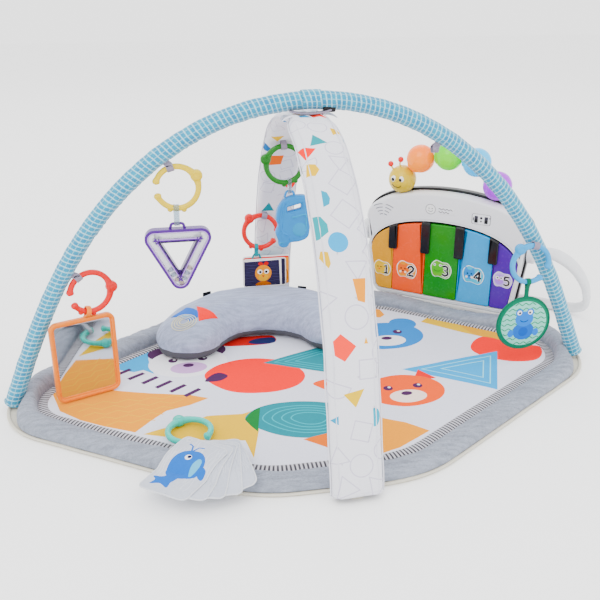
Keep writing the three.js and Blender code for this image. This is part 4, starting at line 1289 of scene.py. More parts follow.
def make_white_arch():
    section = rounded([(0, -8.6, 3), (-25, -8.8, 5), (-33.5, 0, 4.5), (-25, 8.8, 3.5), (25, 8.8, 3.5),
                       (33.5, 0, 4.5), (25, -8.8, 5)], 5)
    loop = [Vector(p) for p in section]
    # start at the middle of the inner face
    first = min(range(len(loop)), key=lambda i: (loop[i] - Vector((0, -8.6))).length)
    loop = loop[first:] + loop[:first + 1]
    steps = np.concatenate([[0], np.cumsum([(b - a).length for a, b in zip(loop, loop[1:])])])
    around = float(steps[-1])
    lefts, outs = np.array([p.x for p in loop]), np.array([p.y for p in loop])
    start = WHITE_ROD.foot(7.0)
    s_low, s_high = start, WHITE_ROD.length - start
    middle = WHITE_ROD.length / 2

    def place(s, e):
        q = (around / 2 + e) % around if abs(e) < around / 2 - 1e-6 else 0.0
        left = -float(np.interp(q, steps, lefts))
        out = float(np.interp(q, steps, outs))
        face = 1.0 if out > 0 else -1.0
        wide = 1.0 - 0.30 * math.exp(-((s - middle) / 26) ** 2)
        edge = min(1.0, abs(out) / 8.8)
        slack = noise.noise(Vector((s / 46, left / 26, face * 3))) * 1.6
        crease = noise.noise(Vector((s / 13 + left / 30, left / 40, face * 9 + 2))) * 0.7
        gather = math.exp(-((s - middle) / 60) ** 2)
        pleat = math.sin(left / 3.1 + 0.7 * math.sin(s / 17)) * 1.5 * gather
        thin = 1.0 - 0.12 * gather
        side = noise.noise(Vector((s / 55, face, 21))) * 1.2
        return in_white(s, left * wide + side, (out + (slack + crease + pleat) * edge) * thin) * MM

    shapes = [(colour, [[(s, -e) for s, e in loop_] for loop_ in group])
              for colour, group in sleeve_print(WHITE_ROD.length, around)]
    border = [(s_low, -around / 2), (s_high, -around / 2), (s_high, around / 2), (s_low, around / 2)]
    extra = [(s, e) for s in np.arange(s_low + 3, s_high - 3, 5.0)
             for e in (-around / 4 - 6, -around / 4 + 6, around / 4 - 6, around / 4 + 6)]
    look = cloth("printed_sleeve", "print", vary=0.04, weave=1300, sheen=0.15, bump=0.3)
    sleeve = printed("wide_sleeve", border, (243, 243, 248), shapes, 5.0, place, look, extra=extra)
    work = bmesh.new()
    work.from_mesh(sleeve.data)
    bmesh.ops.remove_doubles(work, verts=work.verts, dist=1e-5)
    work.to_mesh(sleeve.data)
    work.free()
    sleeve.data.shade_smooth()
    modifier = sleeve.modifiers.new("wall", "SOLIDIFY")
    modifier.thickness, modifier.offset = 0.7 * MM, -1.0
    settle(sleeve, "gym", "white_cloth", "white_sleeve")
    # folded seams along both edges
    seam_look = cloth("white_seam", (234, 234, 240), vary=0.05, weave=1300)
    for n, sign in enumerate((1, -1)):
        for m, (left, out, wide) in enumerate(((33.6, 0.0, 1.0), (24.6, 8.7, 0.8))):
            path = []
            for s in np.arange(s_low + 1, s_high, 4.0):
                narrow = 1.0 - 0.30 * math.exp(-((s - middle) / 26) ** 2)
                side = noise.noise(Vector((s / 55, 1.0, 21))) * 1.2
                path.append(in_white(s, sign * left * narrow + side, out * 1.02) * MM)
            seam = tube(f"sleeve_seam_{n * 2 + m + 1}", path, lambda i, r=wide: disc_section(r, 8), seam_look,
                        up=WHITE_LEFT)
            settle(seam, "gym", "white_cloth")
    # hem at the front and rear foot
    for n, s in enumerate((s_low + 4, s_high - 4)):
        ring = []
        for q in np.linspace(0, around, 72, endpoint=False):
            ring.append(in_white(s, float(np.interp(q, steps, lefts)) * 1.01,
                                 float(np.interp(q, steps, outs)) * 1.03) * MM)
        hem = tube(f"foot_hem_{n + 1}", ring, lambda i: disc_section(0.8, 8), seam_look, closed=True,
                   up=WHITE_ALONG)
        settle(hem, "gym", "white_cloth")
    # slack folds where the sleeve bunches beside the crossing
    for n, (dx, dy, dz, turn, size) in enumerate((
        (-30, -14, 415, 0.5, 18), (-24, -22, 409, 0.2, 15), (-36, 8, 412, 0.9, 14), (26, 10, 413, -0.6, 14),
    )):
        path = [Vector((dx + t * size * math.cos(turn), dy + t * size * math.sin(turn),
                        dz + 3 - 5 * t * t)) * MM for t in np.linspace(-1, 1, 12)]
        fold = tube(f"crossing_fold_{n + 1}", path,
                    lambda i: [(3.4 * math.sin(math.pi * (i + 1) / 13) * math.cos(TAU * k / 12),
                                1.8 * math.sin(math.pi * (i + 1) / 13) * math.sin(TAU * k / 12))
                               for k in range(12)], seam_look)
        crown(fold)
        settle(fold, "gym", "white_cloth")


make_white_arch()


# ---------- link rings and webbing loops ----------
def ring_look(name, colour):
    return plastic(name, colour, roughness=0.25, coat=0.45, soft=0.12)


RINGS = {
    "mirror": ((-335, 0, 200), 0.38, 122, 192, 4, (222, 8, 28), "red_plastic"),
    "triangle": ((-197, 0, 352), 0.0, 106, 182, 30, (255, 232, 30), "yellow_plastic"),
    "round_card": ((346, -21, 212), 0.0, 80, -32, 128, (20, 178, 228), "cyan_plastic"),
    "teether": ((-15, 146.8, 344), 0.0, 92, 4, 163, (52, 135, 8), "green_plastic"),
    "book": ((-33, 256, 198), 0.0, 76, -18, 128, (222, 12, 22), "red_plastic"),
    "cards": ((-196, -138, 17.8), 0.0, None, -60, 115, (24, 216, 204), "teal_plastic"),
}
RING_RADIUS, RING_TUBE, KNOB = 29.5, 4.3, 8.5


def ring_frame(key):
    """Place function of a ring: (u, w, v) from its centre, w into depth."""
    (x, y, z), yaw, hang, *_ = RINGS[key]
    if hang is None:
        return lambda u, w, v: Vector((x + u, y + v, z - w)) * MM
    angle = math.radians(hang)
    base = local(x, y, z, yaw)
    cu, cv = -RING_RADIUS * math.cos(angle), -RING_RADIUS * math.sin(angle)
    return lambda u, w, v: base(u + cu, w, v + cv)


def make_ring(key):
    *_, gap_at, knob_at, colour, slot_name = RINGS[key]
    place = ring_frame(key)
    look = ring_look(f"{key}_ring_gloss", colour)
    gap_angle, half_gap = math.radians(gap_at), 0.2
    count, around = 120, 20
    vertices, faces = [], []
    for i in range(count + 1):
        t = i / count
        angle = gap_angle + half_gap + t * (TAU - 2 * half_gap)
        from_end = min(t, 1 - t) * (TAU - 2 * half_gap) * RING_RADIUS
        size = RING_TUBE * 0.93
        bulb = RING_TUBE * 0.32 * math.exp(-((from_end - 4.2) / 3.4) ** 2)
        size += bulb
        if from_end < 4.4:
            size *= math.sqrt(max(0.0, 1 - ((4.4 - from_end) / 4.4) ** 2))
        # a flat-sided moulding that widens near its knob and lug
        turned = (angle - math.radians(knob_at) + math.pi) % TAU - math.pi
        size += 1.5 * math.exp(-(turned * RING_RADIUS / 12) ** 2) if from_end > 6 else 0
        for k in range(around):
            phi = TAU * k / around
            c, h = math.cos(phi), math.sin(phi)
            square = (abs(c) ** 2.6 + abs(h) ** 2.6) ** (-1 / 2.6)
            radial, depth = size * square * c, size * square * h * 0.98
            r = RING_RADIUS + radial
            vertices.append(place(r * math.cos(angle), depth, r * math.sin(angle)))
    for i in range(count):
        for k in range(around):
            n = (k + 1) % around
            faces.append((i * around + k, i * around + n, (i + 1) * around + n, (i + 1) * around + k))
    link = piece(f"{key}_link", vertices, faces, look, merge=1e-6, sharp=None)
    parts = [link]
    knob_angle = math.radians(knob_at)
    ku, kv = (RING_RADIUS + 2) * math.cos(knob_angle), (RING_RADIUS + 2) * math.sin(knob_angle)
    profile = [(0.01, -6.2), (KNOB - 3.2, -6.0), (KNOB - 1.2, -5.0), (KNOB - 0.1, -2.8), (KNOB, 0),
               (KNOB - 0.1, 2.8), (KNOB - 1.2, 5.0), (KNOB - 3.2, 6.0), (0.01, 6.2)]
    parts.append(lathe(f"{key}_knob", profile, lambda a, b, h: place(ku + a, h, kv + b), look, around=36,
                       sharp=None))
    for side in (-1, 1):
        path = [place(ku + (KNOB - 3.6) * math.cos(a), side * 6.0, kv + (KNOB - 3.6) * math.sin(a))
                for a in np.linspace(0, TAU, 36, endpoint=False)]
        parts.append(tube(f"{key}_knob_bead_{side}", path, lambda i: disc_section(0.55, 8), look, closed=True,
                          up=lambda i: (place(0, 1, 0) - place(0, 0, 0)).normalized(), uv=False))
    if key in ("triangle", "teether", "book", "mirror"):
        # small yoke moulded at the ring's foot keeps the strap in its place
        foot = {"triangle": -93, "teether": -74, "book": -106, "mirror": -104}[key]
        for side in (-1, 1):
            angle = math.radians(foot) + side * 0.30
            fu, fv = (RING_RADIUS + 3.2) * math.cos(angle), (RING_RADIUS + 3.2) * math.sin(angle)
            parts.append(ball(f"{key}_yoke_{side}", (fu, 0, fv), 4.0, look, place, scale=(1, 0.8, 1),
                              around=20, rows=12))
    made = joined(f"{key}_link_ring", parts)
    body = {"cards": "card_set"}.get(key, f"{key}_link")
    settle(made, body, slot_name, {"cards": "cards_ring"}.get(key, f"{key}_ring"))


for ring_name in RINGS:
    make_ring(ring_name)


def make_loop(name, origin, yaw, hang, target):
    """Webbing folded round the ring's tube; its two ends lie together and run up to the sleeve's surface."""
    angle = math.radians(hang)
    base = Vector(origin)
    across = Vector((math.cos(yaw), math.sin(yaw), 0))
    along_tube = across * -math.sin(angle) + Vector((0, 0, 1)) * math.cos(angle)
    reach = Vector(target) - base
    straight = reach - along_tube * reach.dot(along_tube)
    straight.normalize()
    side = along_tube.cross(straight).normalized()
    path = []
    end = Vector(target)
    far = (end - base).length
    for t in np.linspace(1, 0, 10):
        if far * t > 9:
            path.append(base + (end - base) * t + side * 0.55)
    for a in np.linspace(0.95, TAU - 0.95, 34):
        path.append(base + straight * (5.5 * math.cos(a)) + side * (5.5 * math.sin(a)))
    for t in np.linspace(0, 1, 10):
        if far * t > 9:
            path.append(base + (end - base) * t - side * 0.55)
    loop = tube(f"{name}_webbing", smooth_path([p * MM for p in path], 2),
                lambda i: box_section(0.45, 4.8, 0.9), look_strap, up=tuple(along_tube))
    settle(loop, "gym", "grey_webbing", name)


def nearest_on_blue(point, inset):
    """Point on the blue sleeve nearest to a place beside it."""
    best = min(np.arange(0, BLUE_ROD.length, 2.0),
               key=lambda s: (in_blue(s, 0, 0) - Vector(point)).length)
    core = in_blue(best, 0, 0)
    return core + (Vector(point) - core).normalized() * inset


make_loop("loop_mirror", (-335, 0, 200), 0.38, 122, nearest_on_blue((-335, 0, 200), 10.5))
make_loop("loop_triangle", (-197, 0, 352), 0.0, 106, nearest_on_blue((-197, 0, 352), 10.5))
make_loop("loop_spare", (181.5, 0, 363), 0.0, 90, nearest_on_blue((181.5, 0, 363), 10.5))
make_loop("loop_round_card", (346, -21, 212), 0.0, 80, nearest_on_blue((346, -21, 212), 10.5))
make_loop("loop_teether", (-15, 146.8, 344), 0.0, 92, (-15, 157, 362))
make_loop("loop_book", (-33, 256, 198), 0.0, 76, (-33, 275, 214))


# ---------- straps and staples ----------
def strap_band(name, place, drop, half_width, look, body, slot_name, node):
    """Closed strap: round the ring's tube at the top, pinched, and round the toy's staple below."""
    path = []
    for a in np.linspace(-0.45, math.pi + 0.45, 22):
        path.append((5.1 * math.cos(a), 5.1 * math.sin(a)))
    low = -drop - 4.2
    path += [(-1.3, low * 0.42), (-1.25, low * 0.62)]
    for a in np.linspace(math.pi - 0.4, TAU + 0.4, 18):
        path.append((2.9 * math.cos(a), low + 2.9 * math.sin(a)))
    path += [(1.25, low * 0.62), (1.3, low * 0.42)]
    points = [place(0, w, v) for w, v in path]
    side = (place(1, 0, 0) - place(0, 0, 0)).normalized()
    band = tube(name, points, lambda i: box_section(0.5, half_width, 0.8), look, closed=True, up=tuple(side))
    settle(band, body, slot_name, node)


def staple(name, place, bar, bottom, look, spread=7.4, radius=1.9):
    path = [(-spread - 1.2, bottom), (-spread, (bar + bottom) / 2), (-spread + 2.2, bar - 0.6), (0, bar),
            (spread - 2.2, bar - 0.6), (spread, (bar + bottom) / 2), (spread + 1.2, bottom)]
    points = smooth_path([place(u, 0, v) for u, v in path], 6)
    depth = (place(0, 1, 0) - place(0, 0, 0)).normalized()
    return tube(name, points, lambda i: disc_section(radius, 12), look, up=tuple(depth))


def shifted(place, u0, w0, v0):
    return lambda u, w, v: place(u + u0, w + w0, v + v0)


look_clear = clear("clear_plastic", roughness=0.16)
look_orange = plastic("orange_plastic", (255, 168, 30), roughness=0.3, coat=0.35, soft=0.1)
look_purple = plastic("purple_plastic", (82, 40, 130), roughness=0.26, coat=0.4)
look_lilac = plastic("lilac_plastic", (196, 170, 226), roughness=0.25, coat=0.4, soft=0.2)


# ---------- mirror ----------
def make_mirror():
    place = local(-335, 0, 200, 0.38)
    top = -61.64
    corners = box_corners(-50.5, 46.5, top - 127, top, 12)
    outer = rounded(corners, 8)
    inner = grown(outer, -5.2)
    rim = slab("mirror_rim", [outer, inner], -4.2, 4.0, 1.7, place, look_orange, steps=4)
    back = slab("mirror_back", [grown(outer, -2)], 1.7, 4.0, 1.2, place, look_orange, steps=3)
    lip = slab("mirror_lip", [grown(inner, 0.6), grown(inner, -2.2)], -1.8, 0.4, 0.7, place, look_orange,
               steps=2)
    spot = shifted(place, 8.49, 0, -53.64)
    eye_angle = math.radians(-104)
    ring = []
    for a in np.linspace(0, TAU, 40, endpoint=False):
        reach = 7.1
        ring.append(spot(-math.cos(eye_angle) * reach * math.cos(a) * -1, reach * math.sin(a),
                         math.sin(eye_angle) * reach * math.cos(a)))
    tangent = (spot(-math.sin(eye_angle), 0, math.cos(eye_angle)) - spot(0, 0, 0)).normalized()
    eyelet = tube("mirror_eyelet", ring, lambda i: box_section(1.1, 3.6, 0.9), look_orange, closed=True,
                  up=tuple(tangent))
    neck = slab("mirror_neck", [rounded([(-2, top - 3, 1), (18, top - 3, 1), (13, top + 3, 1.5),
                                         (4, top + 3, 1.5)], 4)], -3.2, 3.2, 1.2, place, look_orange, steps=3)
    feet = []
    for n, (u, v) in enumerate(((-44, top - 120), (40, top - 120), (40, top - 7), (-44, top - 7))):
        feet.append(lathe(f"mirror_screw_{n}", [(0.01, 4.6), (2.4, 4.5), (2.8, 4.1), (2.8, 3.0)],
                          lambda a, b, h, u=u, v=v: place(u + a, h, v + b), look_orange, around=20))
    made = joined("mirror_case", [rim, back, lip, eyelet, neck] + feet)
    settle(made, "mirror", "orange_plastic", "mirror_frame")
    film = Look("mirror_film", Metallic=1.0, Roughness=0.035)
    film.shader.inputs["Base Color"].default_value = linear((236, 238, 240))
    film.to(film.bump(film.noise(14, detail=1.0), 0.06, 0.004), "Normal")
    smear = film.noise(30, detail=4.0)
    film.to(film.ramp(smear, 0.45, 0.8, 0.03, 0.09), "Roughness")
    plate = slab("mirror_sheet", [grown(inner, -0.3)], -0.6, 1.4, 0.5, place, film, steps=2)
    settle(plate, "mirror", "mirror_film", "mirror_plate")


make_mirror()


# ---------- bead triangle ----------
def make_triangle():
    place = shifted(local(-197, 0, 352), 5.13, 0, -57.86)
    corners = [(0, -135, 14), (56, -29, 14), (-56, -29, 14)]
    outer = rounded(corners, 12)
    strap_band("triangle_link_strap", place, 18, 4.0, look_clear, "triangle", "clear_plastic",
               "triangle_strap")
    frames = []
    for name, near, far, node in (("outer", 0.0, 3.8, "triangle_outer_frame"),
                                  ("inner", 15.1, 18.9, "triangle_inner_frame")):
        parts = [slab(f"triangle_{name}", [grown(outer, -near), grown(outer, -far)], -8, 8, 1.6, place,
                      look_purple, steps=4)]
        if name == "outer":
            parts.append(staple("triangle_staple", place, -22, -31, look_purple, spread=9.5, radius=2.0))
        made = joined(f"triangle_{name}_frame_moulding", parts)
        settle(made, "triangle", "purple_plastic", node)
        frames.append(made)
        edge = -(far + 0.5) if name == "outer" else -(near - 0.5)
        for side in (-1, 1):
            path = [place(u, side * 6.4, v) for u, v in grown(outer, edge)]
            bead = tube(f"triangle_{name}_lip_{'front' if side < 0 else 'back'}", path,
                        lambda i: disc_section(0.9, 8), look_lilac, closed=True, up=(0, 1, 0))
            settle(bead, "triangle", "purple_plastic")
    tube_look = Look("bead_tube", Roughness=0.22, Transmission_Weight=0.7, IOR=1.25, Coat_Weight=0.3)
    tube_look.shader.inputs["Base Color"].default_value = linear((238, 238, 244))
    tube_look.to(tube_look.bump(tube_look.noise(90), 0.06, 0.001), "Normal")
    glass = slab("bead_tube", [grown(outer, -4.2), grown(outer, -14.8)], -6, 6, 4.6, place, tube_look,
                 steps=6)
    settle(glass, "triangle", "clear_plastic", "triangle_tube")
    spots = [(-12.8, -90.5, 0), (-9, -98, 1), (-4.5, -105.5, 2), (1.2, -110.5, 2), (5.6, -104, 1), (9.6,
                                                                                                    -96.5, 0),
             (13.6, -89, 3)]
    tints = [(60, 160, 220), (90, 190, 225), (250, 190, 60), (250, 205, 90)]
    for n, (u, v, kind) in enumerate(spots):
        bead = ball(f"loose_bead_{n + 1}", (u, 0, v), 3.7, plastic(f"bead_{n + 1}", tints[kind], 0.2), place,
                    around=20, rows=12)
        settle(bead, "triangle", "clear_plastic")


make_triangle()


# ---------- teether ----------
def make_teether():
    place = shifted(local(-15, 146.8, 344), 9.16, 0, -57.84)
    strap_band("teether_link_strap", place, 12, 3.0, look_clear, "teether", "clear_plastic", "teether_strap")
    blue = plastic("teether_blue", (16, 158, 216), roughness=0.42, coat=0.1, soft=0.25)
    pale = plastic("teether_pale", (60, 172, 216), roughness=0.45, coat=0.1, soft=0.25)
    body = soft([(-20, -98), (-19, -106), (-12, -110), (-4, -108), (0, -102), (14, -101), (27, -96), (32,
                                                                                                      -86),
                 (33, -60), (31, -34), (26, -24), (14, -22.5), (0, -24), (-12, -31), (-21, -45), (-23, -62),
                 (-20, -72), (-24, -84)], 6)
    slot_hole = rounded([(-4.5, -50, 1.5), (18.5, -44.5, 1.5), (18.5, -36, 1.5), (-4.5, -41.5, 1.5)], 4)
    parts = [slab("teether_shell", [body, slot_hole], -7.6, 7.6, 4.2, place, blue, steps=5, sharp=60)]
    parts.append(slab("teether_edge", [[(u, v) for u, v in grown(body, -6.5)], grown(slot_hole, 2.6)],
                      -8.2, 8.2, 0.9, place, blue, steps=2))
    for side in (-1, 1):
        profile = [(0.01, 9.6), (9, 9.5), (11.5, 8.8), (12.4, 7.4), (12.6, 5)]
        parts.append(lathe(f"teether_disc_{side}", profile,
                           lambda a, b, h, s=side: place(15 + a, s * h, -79 + b), pale, around=40))
        path = smooth_path([place(u, side * 7.9, v) for u, v in (
            (2, -58), (12, -56.5), (25, -54), (25.5, -64), (26.5, -78))], 6)
        parts.append(tube(f"teether_note_{side}", path, lambda i: disc_section(1.7, 10), pale,
                          up=(0, 1, 0), uv=False))
        path = smooth_path([place(u, side * 7.9, v) for u, v in (
            (-10, -34), (-15, -50), (-15.5, -68), (-14, -82), (-4, -88), (0, -96))], 6)
        parts.append(tube(f"teether_ridge_{side}", path, lambda i: disc_section(1.5, 10), blue,
                          up=(0, 1, 0), uv=False))
        for n in range(3):
            parts.append(ball(f"teether_bump_{side}_{n}", (-16.5 + n * 3.6, side * 6.2, -101 + n * 1.2),
                              2.3, pale,
                              place, around=14, rows=8))
    parts.append(staple("teether_staple", place, -16, -26, blue, spread=7.0, radius=1.8))
    made = joined("teether_moulding", parts)
    settle(made, "teether", "cyan_plastic", "teether_body")


make_teether()


# ---------- cloth book ----------
look_teal_web = woven("teal_webbing", (85, 170, 178), pitch=0.0013)


def quilt(u, v, seed, size=0.5):
    return size * noise.noise(Vector((u / 9, v / 9, seed))) + size * 0.6 * noise.noise(
        Vector((u / 3.7, v / 3.7, seed + 5)))


def page(name, x0, x1, z0, z1, front, back, place, front_ground, shapes, back_colour, seed):
    """Soft book page: a printed front, a plain back and a bound edge."""
    outline = rounded(box_corners(x0, x1, z0, z1, 3.5), 4)

    def lift(u, v):
        edge = min(u - x0, x1 - u, v - z0, z1 - v)
        return 1 - math.exp(-max(edge, 0) / 3.0)

    middle, half = (front + back) / 2, (back - front) / 2
    look = cloth(f"{name}_print", "print", vary=0.05, weave=1200)
    face = printed(f"{name}_face", outline, front_ground, shapes, 2.4,
                   lambda u, v: place(u, middle - (0.3 + (half - 0.5) * lift(u, v)) - quilt(u, v, seed,
                                                                                            0.3), v), look)
    rear = printed(f"{name}_rear", outline, back_colour, [], 3.4,
                   lambda u, v: place(u, middle + (0.3 + (half - 0.5) * lift(u, v)) + quilt(u, v, seed + 9,
                                                                                            0.3), v),
                   look)
    bind = cloth(f"{name}_binding", (240, 236, 236), vary=0.05)
    cord = [place(u, middle, v) for u, v in spaced(outline, 2.5)]
    depth = (place(0, 1, 0) - place(0, 0, 0)).normalized()
    edge = tube(f"{name}_edge", cord,
                lambda i: [(1.1 * math.cos(TAU * k / 10), (half * 0.55 + 0.3) * math.sin(TAU * k / 10))
                           for k in range(10)], bind, closed=True, up=tuple(depth))
    return joined(name, [face, rear, edge])


def make_book():
    place = shifted(local(-33, 256, 198), -15.27, 0, -56.98)
    strap_band("book_link_strap", place, 10, 3.2, look_teal_web, "book", "teal_webbing", "book_strap")
    ground = (46, 42, 62)
    shapes = []
    for n in range(17):
        v = -73 + n * 3.1
        wobble = [(u, v + 0.5 * math.sin(u * 0.3 + n)) for u in np.linspace(-21, 41, 16)]
        shapes.append(((74, 70, 100) if n % 2 else (60, 56, 84), stroke(wobble, 0.9)))
    shapes.append(((250, 246, 246), [[(42, -75), (45, -75), (44, -23), (40, -23)]]))
    shapes.append(((250, 246, 246), [[(-24, -26), (44, -25), (44, -22), (-24, -22)]]))
    # a plain round chick face
    shapes += [
        ((210, 60, 70), [soft([(2, -31), (6, -27), (11, -31), (7, -35)])]),
        ((210, 60, 70), [soft([(12, -31), (17, -27), (21, -31), (16, -35)])]),
        ((246, 178, 58), [circle(11, -49, 15, 40, 1.05)]),
        ((252, 205, 110), [circle(11, -57, 9, 30, 0.8)]),
        ((252, 250, 246), [circle(5, -46, 4.6, 24)]), ((252, 250, 246), [circle(17, -46, 4.6, 24)]),
        ((40, 32, 44), [circle(5.6, -46.5, 2.4, 18)]), ((40, 32, 44), [circle(16.4, -46.5, 2.4, 18)]),
        ((225, 110, 40), [[(8.4, -53), (13.6, -53), (11, -57.5)]]),
        ((200, 130, 60), [soft([(-3, -70), (3, -66), (11, -64), (19, -66), (25, -70), (22, -73), (0, -73)])]),
    ]
    front = page("book_front_page", -24, 52, -74.5, -22.5, -6.5, -2.2, place, ground, shapes, (236, 200,
                                                                                               60), 3)
    settle(front, "book_cover", "book_front_cloth", "book_front")
    arcs = [((150, 92, 52), stroke([(44 + r * math.cos(a), -58 + r * 1.4 * math.sin(a))
                                    for a in np.linspace(-0.6, 1.7, 24)], 1.3)) for r in (5, 9, 13)]
    arcs.append(((240, 100, 90), [[(-24, -23.5), (60, -23.5), (60, -20), (-24, -20)]]))
    back = page("book_back_page", -24, 60, -75, -20, -1.5, 6.5, place, (250, 182, 132), arcs, (80, 185,
                                                                                               190), 12)
    hook = staple("book_hook", place, -14, -22, look_teal_web, spread=6.2, radius=1.6)
    made = joined("book_back_cover", [back, hook])
    settle(made, "book", "book_back_cloth", "book_back")


make_book()


# ---------- round card ----------
def make_round_card():
    place = shifted(local(346, -21, 212), -6.12, 0, -58.55)
    centre_v, radius = -70, 45
    outline = circle(0, centre_v, radius - 1.5, 90)
    mint = (178, 226, 214)
    shapes = [((16, 140, 116), [outline, circle(0, centre_v, radius - 7, 80)])]
    for n in range(9):
        v = centre_v - 34 + n * 8.4
        half = math.sqrt(max(0, 37.5 ** 2 - (v - centre_v) ** 2))
        if half > 6:
            wave = [(u, v + 1.6 * math.sin(u * 0.55 + n)) for u in np.linspace(-half, half, 40)]
            shapes.append(((40, 160, 130), stroke(wave, 1.6)))
    # a plain little blue turtle seen from the front
    shapes += [
        ((30, 120, 205), [soft([(-17, -78), (-14, -92), (0, -98), (14, -92), (17, -78), (8, -70), (-8,
                                                                                                   -70)])]),
        ((24, 104, 190), [circle(0, -84, 8, 30)]),
        ((44, 142, 224), [circle(0, -62, 15, 40, 0.86)]),
        ((44, 142, 224), [circle(-9, -51, 6.4, 24)]), ((44, 142, 224), [circle(9, -51, 6.4, 24)]),
        ((250, 250, 252), [circle(-9, -51, 4.0, 20)]), ((250, 250, 252), [circle(9, -51, 4.0, 20)]),
        ((30, 30, 60), [circle(-8.4, -51.6, 2.0, 16)]), ((30, 30, 60), [circle(8.4, -51.6, 2.0, 16)]),
        ((24, 60, 130), stroke([(7 * math.cos(a), -62 + 5 * math.sin(a)) for a in np.linspace(3.5, 5.9,
                                                                                              12)], 1.3)),
        ((44, 142, 224), [circle(-21, -86, 5, 20, 1.3)]), ((44, 142, 224), [circle(21, -86, 5, 20, 1.3)]),
    ]
    look = cloth("round_card_print", "print", vary=0.05, weave=1200)

    def lift(u, v):
        edge = radius - math.hypot(u, v - centre_v)
        return 1 - math.exp(-max(edge - 2, 0) / 4)

    front = printed("round_card_face", outline, mint, shapes, 2.6,
                    lambda u, v: place(u, -0.8 - 2.3 * lift(u, v) - quilt(u, v, 3, 0.35), v), look)
    back = printed("round_card_rear", outline, (120, 205, 190), [((16, 140, 116), [outline, circle(
        0, centre_v, radius - 7, 80)])], 3.4, lambda u, v: place(u, 0.8 + 2.3 * lift(u, v) + quilt(u, v, 8,
                                                                                                   0.35), v),
        look)
    bind = woven("round_card_binding", (14, 132, 110), pitch=0.0014)
    path = [place(u, 0, v) for u, v in circle(0, centre_v, radius - 1.4, 100)]
    edge = tube("round_card_edge", path,
                lambda i: [(1.7 * math.cos(TAU * k / 10), 2.2 * math.sin(TAU * k / 10)) for k in range(10)],
                bind, closed=True, up=(0, 1, 0))
    path = [place(0, w, v) for w, v in [(5.2 * math.cos(a), 5.2 * math.sin(a)) for a in np.linspace(
        -0.9, math.pi + 0.9, 24)] + [(-0.9, -12), (-0.9, -27), (0.9, -27), (0.9, -12)]]
    tab = tube("round_card_tab", path, lambda i: box_section(0.45, 3.4, 0.8), bind, closed=True, up=(1, 0, 0))
    made = joined("round_cloth_card", [front, back, edge, tab])
    settle(made, "round_card_toy", "round_card_cloth", "round_card")


make_round_card()


